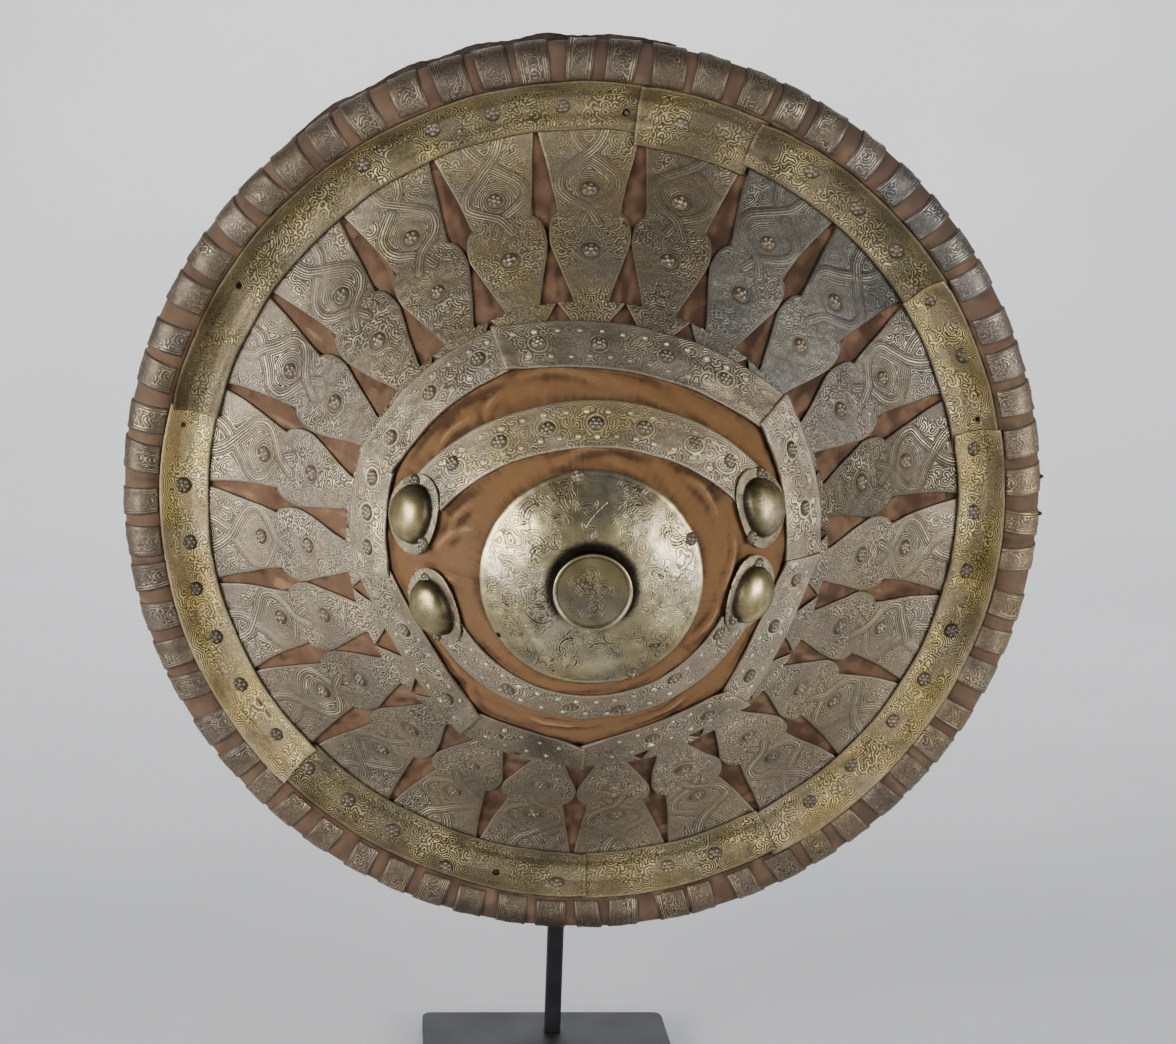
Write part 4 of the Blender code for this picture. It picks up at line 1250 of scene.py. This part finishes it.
def make_boss(node, degrees, radius, turn, seed):
    """Oval flange and egg-shaped dome, engraved with curls that are fainter on the dome."""
    rng = np.random.default_rng(seed)
    angle, turn = math.radians(degrees), math.radians(turn)
    seat = 2.2 * MM
    share = np.concatenate((np.linspace(0.04, 0.99, 24), 1 + np.linspace(0.04, 0.94, 9), (1.985, 2.0)))
    columns = 76
    around = round_turns(columns)
    dome, brim = np.minimum(share, 1), np.maximum(share - 1, 0)
    length = (DOME[0] * dome + (FLANGE[0] - DOME[0]) * brim) / 2
    width = (DOME[1] * dome + (FLANGE[1] - DOME[1]) * brim) / 2
    x = length[:, None] * np.cos(around)[None, :]
    y = width[:, None] * np.sin(around)[None, :]
    crown = DOME_HEIGHT * np.sqrt(np.clip(1 - dome ** 2.3, 0, 1))
    dents = 0.14 * MM * waves(rng, x / MM, y / MM, 12)
    lift = seat + 0.9 * MM + crown[:, None] + dents
    lift[-1] = seat + 0.3 * MM
    fall = math.atan(float(-(face_height(radius + MM) - face_height(radius - MM)) / (2 * MM)))
    side = x * math.cos(turn) - y * math.sin(turn)
    down = x * math.sin(turn) + y * math.cos(turn)
    reach = radius + down * math.cos(fall)
    top = place(arc_of(reach), angle + side / reach, lift)
    bottom = place(arc_of(reach[-1]), angle + side[-1] / reach[-1], seat)
    points = np.vstack((top.reshape(-1, 3), bottom))
    faces = tube_faces(np.arange(len(points)).reshape(-1, columns))
    ring = np.broadcast_to(share[:, None], x.shape)
    mottled = 0.3 * waves(rng, x / MM, y / MM, 6)
    # painted shade in the crevice at the dome's foot, and on the dome towards its foot
    values = {"groove": 0.9 * np.exp(-((ring - 1.03) / 0.09) ** 2), "gilt": np.where(ring < 1, 0.85, 0.2),
              "curls": np.where(ring < 1, 0.4, 1.0),
              "tone": mottled + np.where(ring < 1, -0.5 - 0.8 * smooth(0.72, 1.0, ring), 0.0)}
    name = node.replace("small_boss", "embossed_boss")
    new_piece(name, points, faces, ENGRAVED, (node,), values)


def make_dish():
    """Convex dish: swirls of fine engraved lines in patches, mottled polish and a rolled edge."""
    rng = np.random.default_rng(54)
    arcs = np.concatenate((np.linspace(1.0 * MM, arc_of(0.0520), 72),
                           np.linspace(arc_of(0.0524), arc_of(DISH_RADIUS), 7)))
    columns = 300
    angle = round_turns(columns)
    x_flat, y_flat = rolled_out(arcs, angle)
    edge = (arcs[-1] - arcs) / MM
    top = np.column_stack(section_points(arcs, 1.2 * MM))
    under = np.column_stack(section_points(arcs[::-8], 0.3 * MM))
    shift = np.zeros((len(top) + len(under), columns))
    shift[:len(top)] = MM * (0.16 * waves(rng, x_flat, y_flat, 22) + 0.07 * waves(rng, x_flat, y_flat, 8)
                             + 0.15 * np.exp(-((edge - 1.6) / 0.8) ** 2)[:, None])
    shift[len(top) - 1] = -0.5 * MM
    points, faces = turned_parts(np.vstack((top, under)), columns, shift)
    swirls = []
    for turn in np.arange(0, TAU, TAU / 15):
        for reach in (27.0, 34.0, 42.0, 50.0):
            here = turn + rng.uniform(-0.2, 0.2) + 0.029 * reach
            centre = reach * math.sin(here), reach * math.cos(here)
            swirls.append(bow(centre, rng.uniform(2.5, 8.0), rng.uniform(0, TAU), rng.uniform(0.7, 2.4)))
    phase, _, _ = chasing(x_flat, y_flat, swirls)
    chased = 0.75 * (1 - smooth(1.8, 3.2, phase)) * smooth(-0.8, 0.2, waves(rng, x_flat, y_flat, 17))
    chased = chased * smooth(2.5, 5.0, edge)[:, None]
    tone = 0.30 * waves(rng, x_flat, y_flat, 38) + 0.25 * waves(rng, x_flat, y_flat, 9)
    # painted shade: darker at the top and the bottom
    tone = tone - 0.5 * np.cos(angle)[None, :] ** 2
    # painted shade in a narrow groove inside the rolled edge
    groove = 0.2 * np.exp(-((edge - 3.2) / 0.5) ** 2)[:, None] * np.ones(columns)
    # painted shadow round the knob, left out at the bottom
    knob_shadow = (1 - smooth(0.0200, 0.0245, radius_of(arcs)))[:, None]
    knob_shadow = knob_shadow * smooth(-1.0, -0.5, np.cos(angle))[None, :]
    groove = np.clip(groove + knob_shadow, 0, 1)
    tone = tone - 1.3 * knob_shadow
    surface = points[:len(top) * columns]
    # painted shade in the empty nail hole
    hole = Vector(place(arc_of(DISH_HOLE[0] * MM), math.radians(DISH_HOLE[1]), 1.2 * MM))
    gap = np.linalg.norm(surface - hole, axis=1).reshape(groove.shape) / MM
    tone = tone - 4 * (1 - smooth(0.8, 1.6, gap))
    curls = smooth(2.5, 5.0, edge)[:, None] * np.ones(columns)
    new_piece("polished_dish", points, faces, ENGRAVED, ("central_dish",),
              {"weave": phase, "chased": chased, "tone": tone, "groove": groove,
               "gilt": 0.62 * np.ones(tone.size), "curls": curls})


def make_scratch():
    """Bright scratch across the dish's upper part, as a chain of slivers along it."""
    parts = Parts()
    (near, near_angle), (far, far_angle) = SCRATCH
    share = np.linspace(0, 1, 7)
    radii = (near + (far - near) * share) * MM
    angles = np.radians(near_angle + (far_angle - near_angle) * share)
    line = [Vector(point) for point in place(arc_of(radii), angles, 1.42 * MM)]
    off = Vector(spot((near + far) / 2 * MM, 0.0, 0.0)[3])
    for start, end in zip(line, line[1:]):
        along = (end - start).normalized()
        across = off.cross(along).normalized()
        axes = (start + end) / 2, along, across, along.cross(across)
        size = (end - start).length * 0.62, 0.24 * MM
        parts.add(*dome_parts(axes, size, 0.22 * MM, 2, 10)[:2], tone=1.4)
    parts.piece("dish_scratch", ENGRAVED, "silver")


def make_knob():
    """Short drum with an engraved face inside a thin lip; its wall is dark with painted shade."""
    rng = np.random.default_rng(19)
    seat = float(section_points(0.0, 1.5 * MM)[1])
    crown = seat + KNOB_HEIGHT
    outer = KNOB_RADIUS
    face = [(r, crown - 1.0 * MM + 0.10 * MM * math.sin(r * 900))
            for r in np.linspace(0.4 * MM, outer - 2.0 * MM, 26)]
    lip = [(outer - 1.6 * MM, crown - 0.9 * MM), (outer - 1.3 * MM, crown - 0.2 * MM),
           (outer - 0.9 * MM, crown), (outer - 0.4 * MM, crown - 0.1 * MM), (outer, crown - 0.5 * MM)]
    wall = [(outer - 1.2 * MM * math.sin(math.pi * t) ** 2, crown - 0.6 * MM - t * (KNOB_HEIGHT - 1.2 * MM))
            for t in np.linspace(0, 1, 8)]
    foot = [(outer, seat + 0.3 * MM), (outer - 0.3 * MM, seat), (0.4 * MM, seat)]
    profile = face + lip + wall + foot
    columns = 120
    points, faces = turned_parts(profile, columns)
    radius = np.array(profile)[:, 0] / MM
    turn = round_turns(columns)
    x, y = radius[:, None] * np.sin(turn), radius[:, None] * np.cos(turn)
    marks = [bow((rng.uniform(-9, 9), rng.uniform(-9, 9)), rng.uniform(1.2, 3.5), rng.uniform(0, TAU), 2.2)
             for _ in range(12)]
    phase, _, _ = chasing(x, y, marks)
    on_face = (np.arange(len(profile)) < len(face))[:, None]
    chased = 0.6 * (1 - smooth(2.0, 3.0, phase)) * (radius < 15)[:, None] * on_face
    groove = np.zeros(x.shape)
    # painted shade in the groove inside the lip and on the wall
    groove[len(face) - 1:len(face) + 2] = 0.6
    groove[len(face + lip):] = 1.0
    tone = np.where(on_face, -1.1, 0.0) + 0.25 * waves(rng, x, y, 16)
    # painted shade on the wall
    tone[len(face + lip):] = -1.6
    new_piece("turned_knob", points, faces, ENGRAVED, ("centre_knob",),
              {"weave": phase, "chased": chased, "groove": groove, "tone": tone,
               "gilt": 0.8 * np.ones(tone.size)})


# Rim strips: how many, their width, and the radius where they start and where it is measured; then
# the radius and the angles of two nails that stick out of the rim
STRIP_COUNT = 66
STRIP_WIDTH = 16.2 * MM
STRIP_START = 0.2303
STRIP_RADIUS = 0.245
NAIL_RADIUS = 0.2494
RIM_NAILS = (84.2, 89.0)


def make_rim_strips():
    """Thin embossed strips wrapped from the gilt band over the rim to its back."""
    rng = np.random.default_rng(65)
    parts = Parts()
    first, last = arc_of(STRIP_START), SECTION[0][-1] - 6 * MM
    for k in range(STRIP_COUNT):
        middle = TAU * (k + 0.5) / STRIP_COUNT + rng.uniform(-0.010, 0.010)
        half = STRIP_WIDTH / 2 * rng.uniform(0.86, 1.12)
        begin = first + rng.uniform(-0.4, 0.8) * MM
        finish = last + rng.uniform(-2.5, 2.5) * MM
        arcs = begin + (finish - begin) * spaced(finish - begin, 1.25 * MM, 0.35 * MM)
        across = 2 * spaced(STRIP_WIDTH, 1.35 * MM, 0.35 * MM) - 1
        skew = rng.uniform(-0.11, 0.11) * (arcs - arcs[0]) / 0.25
        angle = middle + skew[:, None] + half * across[None, :] / STRIP_RADIUS
        arc = np.broadcast_to(arcs[:, None], angle.shape)
        x, y = across[None, :] * half / MM + 0 * arc, (arc - begin) / MM
        length, side = float(y.max()), half / MM
        steps = np.arange(0, length, 0.9)
        marks = [np.column_stack((np.full(len(steps), v), steps)) for v in (-side + 1.5, side - 1.5)]
        kind = rng.integers(3)
        for n, v in enumerate(np.arange(4.0, length, 7.0)):
            if kind == 0:
                marks.append(bow((0, v), 1.6, 0, TAU))
            elif kind == 1:
                marks.append(curve_through([(-3, v - 3), (0, v), (3, v - 3)]))
            else:
                marks.append(bow((1.5 * (-1) ** n, v), 2.0, rng.uniform(0, TAU), 3.5))
        phase, _, relief = chasing(x, y, marks)
        lift = MM * (0.75 + 0.8 * relief + 0.25 * waves(rng, x, y, 11))
        set_edges(lift, 0.35 * MM)
        points, faces = sheet_parts(arc, angle, lift, 0.15 * MM, 5, 6)
        # painted shade along the strip's edges
        edge = np.zeros(x.shape)
        set_edges(edge, 0.6)
        # darker towards the top; painted highlight on the lit stretch low on the right; painted cool
        # reflection, lighter, on the upper right
        tone = rng.uniform(-0.35, 0.25) - 0.25 * max(math.cos(middle + 0.35), 0) + 0.2 * waves(rng, x, y, 14)
        cool_reflection = math.exp(-((math.degrees(middle) - 48) / 24) ** 2)
        lit = float(lit_side(middle))
        tone = tone + 0.7 * lit + 0.5 * cool_reflection
        chased = 0.75 * smooth(-0.7, 0.6, waves(rng, x, y, 18))
        gilt = np.full(edge.shape, rng.uniform(0.1, 0.8) * (1 - cool_reflection) + lit - 0.8 * cool_reflection)
        parts.add(points, faces, weave=1.1 * phase, chased=chased, groove=edge, tone=tone, gilt=gilt)
    parts.piece("rim_strips", BRONZED, "silver")


def make_nail_tips():
    """Two nails that stick out of the rim on the right."""
    parts = Parts()
    for degrees in RIM_NAILS:
        where = spot(NAIL_RADIUS, math.radians(degrees), 1.2 * MM)
        parts.add(*dome_parts(where, (1.3 * MM, 1.6 * MM), 1.5 * MM)[:2], tone=-1.7)
    parts.piece("rim_nails", BRONZED, "silver")


def make_hide_edge():
    """Rough edge of the hide, which stands a little above the wrapped rim at the upper left."""
    rng = np.random.default_rng(12)
    angles = np.radians(np.linspace(-40, 9, 150))
    fade = smooth(0, 0.12, (angles - angles[0]) / 0.9) * smooth(0, 0.12, (angles[-1] - angles) / 0.9)
    sides = round_turns(14)
    run = np.degrees(angles) * 4.3
    thick = 1.9 + 0.5 * waves(rng, run, 0.0, 16)
    crest = 251.4 + 1.2 * fade * (1.2 + waves(rng, run, 0.0, 24, 8))
    radius = (crest - 4.6)[:, None] + 4.6 * np.cos(sides)[None, :]
    height = -9.4 + thick[:, None] * np.sin(sides)[None, :]
    rough = 0.3 * waves(rng, run[:, None], 3 * sides[None, :], 5, 8)
    points = world((radius + rough) * MM, angles[:, None], (height + rough) * MM).reshape(-1, 3)
    faces = tube_faces(np.arange(len(points)).reshape(len(angles), len(sides)))
    new_piece("hide_edge", points, faces, HIDE)


# Grip, as in the solids
GRIP_TO_TIP = 0.0714
GRIP_HALF_WIDTH = 15 * MM
GRIP_THICKNESS = 7 * MM
GRIP_STANDOFF = 1 * MM
GRIP_BOW = 4 * MM
GRIP_TABS = (0.080, 0.100)
GRIP_BEND = 0.074
GRIP_HALF_SPAN = 0.052
RIVET_RADIUS = 0.092


def make_grip():
    """Thick strap across the hollow: rounded section, two tabs, stitching and rivets."""
    back = -(COVER_THICKNESS + 0.3 * MM + HIDE_THICKNESS + GRIP_STANDOFF)
    level = float(face_height(0.0)) - GRIP_TO_TIP
    tab = [section_points(arc_of(r), back - GRIP_THICKNESS / 2) for r in (*GRIP_TABS[::-1], GRIP_BEND)]
    span = [(share * GRIP_HALF_SPAN, level - GRIP_BOW * (1 - share ** 2)) for share in (1.0, 0.75, 0.4, 0.0)]
    half_path = [(float(r), float(h)) for r, h in tab] + span
    path = np.array([(-x, z) for x, z in half_path] + half_path[-2::-1]) / MM
    line = curve_through(path, 2.2) * MM
    tangent = np.gradient(line, axis=0)
    tangent /= np.linalg.norm(tangent, axis=1)[:, None]
    turn = round_turns(28)
    wide = np.sign(np.cos(turn)) * np.abs(np.cos(turn)) ** 0.45 * GRIP_HALF_WIDTH
    thick = np.sign(np.sin(turn)) * np.abs(np.sin(turn)) ** 0.8 * GRIP_THICKNESS / 2
    x = line[:, 0:1] - tangent[:, 1:2] * thick[None, :]
    z = line[:, 1:2] + tangent[:, 0:1] * thick[None, :]
    y = np.broadcast_to(wide, x.shape)
    points = CENTRE + x[..., None] * RIGHT + y[..., None] * UPWARD + z[..., None] * FORWARD
    faces = tube_faces(np.arange(x.size).reshape(x.shape))
    strap = leather_material("grip_leather", colour(58, 34, 22), colour(112, 70, 44))
    new_piece("grip_strap", points.reshape(-1, 3), faces, strap, ("arm_grip",))
    stitches = Parts()
    for side in (-1, 1):
        for k in range(2, len(line) - 2, 2):
            x0, z0 = line[k] - np.array((-tangent[k, 1], tangent[k, 0])) * GRIP_THICKNESS * 0.47
            where = CENTRE + x0 * RIGHT + side * (GRIP_HALF_WIDTH - 2.6 * MM) * UPWARD + z0 * FORWARD
            along = tangent[k, 0] * RIGHT + tangent[k, 1] * FORWARD
            off = -(tangent[k, 0] * FORWARD - tangent[k, 1] * RIGHT)
            axes = (Vector(where), Vector(along), Vector(UPWARD), Vector(off))
            stitches.add(*dome_parts(axes, (1.5 * MM, 0.45 * MM), 0.45 * MM, 2, 8)[:2])
    stitches.piece("grip_stitching", thread_material(), "grip_leather")
    rivets = Parts()
    for sign in (-1, 1):
        for y in (-8 * MM, 8 * MM):
            x0, z0 = section_points(arc_of(RIVET_RADIUS), back - GRIP_THICKNESS)
            ahead = section_points(arc_of(RIVET_RADIUS) + MM, back - GRIP_THICKNESS)
            along = Vector(((ahead[0] - x0) * sign * RIGHT + (ahead[1] - z0) * FORWARD)).normalized()
            where = CENTRE + sign * x0 * RIGHT + y * UPWARD + z0 * FORWARD
            off = along.cross(Vector(UPWARD))
            if off.dot(Vector(FORWARD)) > 0:
                off.negate()
            axes = (Vector(where), along, Vector(UPWARD), off)
            rivets.add(*dome_parts(axes, (3.6 * MM, 3.6 * MM), 1.6 * MM, 4, 16)[:2])
    rivets.piece("grip_rivets", SILVER, "silver")


def make_clenches():
    """Nail ends bent over on the hide's back, behind the plates' studs and the band's innermost one."""
    rng = np.random.default_rng(88)
    parts = Parts()
    places = [(r / MM, math.degrees(a)) for a in plate_angles() for r in PLATE_STUDS]
    places += [(r, a) for r, a in BAND_STUDS if r < 214]
    back = -(COVER_THICKNESS + 0.3 * MM + HIDE_THICKNESS)
    for r, degrees in places:
        centre, along, outward, normal = spot(r * MM, math.radians(degrees), back - 0.1 * MM)
        turn = rng.uniform(0, TAU)
        long_way = math.cos(turn) * along + math.sin(turn) * outward
        cross = -math.sin(turn) * along + math.cos(turn) * outward
        parts.add(*dome_parts((centre, long_way, cross, -normal), (3.4 * MM, 1.0 * MM), 1.3 * MM, 3, 10)[:2])
    iron = black_metal("old_iron", colour(46, 40, 36), colour(92, 78, 66), 0.55)
    parts.piece("clenched_nails", iron, "black_steel")


def finish_stand():
    """Powder coat on the bar and the base plate, whose solids stay as they are."""
    rod = black_metal("bar_coat", colour(10, 10, 12), colour(24, 24, 27), 0.42)
    plate = black_metal("plate_coat", colour(27, 27, 28), colour(41, 41, 42), 0.50)
    for node, coat in (("stand_rod", rod), ("stand_base", plate)):
        for held in frame["nodes"][node].material_slots:
            held.material = coat


def make_stage():
    """Plain pale floor that curves up into a backdrop."""
    f = Finish("pale_floor")
    shade = f.mix(f.fit(f.noise(3.0, 2.0), 0.3, 0.7), colour(226, 227, 228), colour(220, 221, 222))
    floor = f.done(shade, 0.9, f.bump(f.noise(300.0, 2.0), 0.1 * MM, 0.2), 0.0)
    front, depth, height, bend, half = -1.9, 1.6, 4.0, 0.7, 6.0
    profile = [(front, 0.0)]
    for a in np.linspace(0, math.pi / 2, 16):
        profile.append((depth + bend * math.sin(a), bend - bend * math.cos(a)))
    profile += [(depth + bend, height)]
    points = [(x, y, z) for y, z in profile for x in (-half, half)]
    faces = [(2 * k, 2 * k + 1, 2 * k + 3, 2 * k + 2) for k in range(len(profile) - 1)]
    mesh = bpy.data.meshes.new("studio_floor")
    mesh.from_pydata(points, [], faces)
    mesh.shade_smooth()
    mesh.materials.append(floor)
    stage = bpy.data.objects.new("studio_floor", mesh)
    bpy.context.scene.collection.objects.link(stage)


def soft_light(name, place_at, size, power, aim):
    """Large soft lamp aimed at a point."""
    lamp = bpy.data.lights.new(name, "AREA")
    lamp.shape = "RECTANGLE"
    lamp.size, lamp.size_y = size
    lamp.energy = power
    holder = bpy.data.objects.new(name, lamp)
    bpy.context.scene.collection.objects.link(holder)
    holder.location = place_at
    holder.rotation_euler = (Vector(aim) - Vector(place_at)).to_track_quat("-Z", "Y").to_euler()


def make_lights():
    """Pale surroundings, a soft lamp on either side and one over the backdrop."""
    world_light = bpy.data.worlds.new("studio")
    world_light.use_nodes = True
    nodes, links = world_light.node_tree.nodes, world_light.node_tree.links
    here = nodes.new("ShaderNodeTexCoord")
    split = nodes.new("ShaderNodeSeparateXYZ")
    sky = nodes.new("ShaderNodeValToRGB")
    stones = sky.color_ramp.elements
    stones[0].color, stones[1].color = colour(178, 180, 182), colour(84, 87, 92)
    stones[0].position, stones[1].position = 0.0, 0.7
    links.new(here.outputs["Generated"], split.inputs[0])
    links.new(split.outputs["Z"], sky.inputs[0])
    links.new(sky.outputs[0], nodes["Background"].inputs["Color"])
    nodes["Background"].inputs["Strength"].default_value = 0.75
    bpy.context.scene.world = world_light
    aim = (0.0, 0.0, 0.33)
    soft_light("left", (-1.6, -1.15, 0.50), (1.2, 1.0), 47.0, aim)
    soft_light("right", (1.7, -1.15, 0.50), (1.2, 1.0), 37.0, aim)
    soft_light("wall", (0.0, 0.9, 1.9), (2.6, 0.6), 48.0, (0.0, 2.3, 0.8))


def make_camera():
    """Camera at the photograph's angle, with the photograph's frame."""
    a, e = CAMERA_AZIMUTH, CAMERA_ELEVATION
    ahead = Vector((math.sin(a) * math.cos(e), math.cos(a) * math.cos(e), -math.sin(e)))
    level = ahead.cross(Vector((0, 0, 1))).normalized()
    below = ahead.cross(level)
    right = math.cos(CAMERA_ROLL) * level + math.sin(CAMERA_ROLL) * below
    down = ahead.cross(right)
    lens = bpy.data.cameras.new("camera")
    lens.sensor_fit = "HORIZONTAL"
    lens.sensor_width = SENSOR
    lens.lens = FOCAL_PIXELS * SENSOR / IMAGE_WIDTH
    camera = bpy.data.objects.new("camera", lens)
    bpy.context.scene.collection.objects.link(camera)
    turn = Matrix((right, -down, -ahead)).transposed().to_4x4()
    camera.matrix_world = Matrix.Translation(CAMERA_PLACE) @ turn
    bpy.context.scene.camera = camera


def main():
    """Everything in the picture, piece by piece."""
    make_camera()
    make_velvet()
    make_hide()
    make_plates()
    make_outer_band()
    inner_pellets = make_inner_band()
    upper_pellets = make_arch(
        "gilt_arch", "upper_arch_band", UPPER_ARCH, UPPER_ROSETTES, arch_gilding, 61)
    lower_pellets = make_arch(
        "silver_arch", "lower_arch_band", LOWER_ARCH, LOWER_ROSETTES, 0.1, 62)
    inner_pellets.piece("inner_band_pellets", SILVER, "silver")
    upper_pellets.piece("upper_arch_pellets", SILVER, "gilt")
    lower_pellets.piece("lower_arch_pellets", SILVER, "silver")
    for k, boss in enumerate(SMALL_BOSSES):
        make_boss(*boss, 500 + k)
    make_dish()
    make_scratch()
    make_knob()
    make_studs()
    make_rim_strips()
    make_nail_tips()
    make_hide_edge()
    make_grip()
    make_clenches()
    finish_stand()
    make_stage()
    make_lights()


main()
bpy.context.view_layer.update()
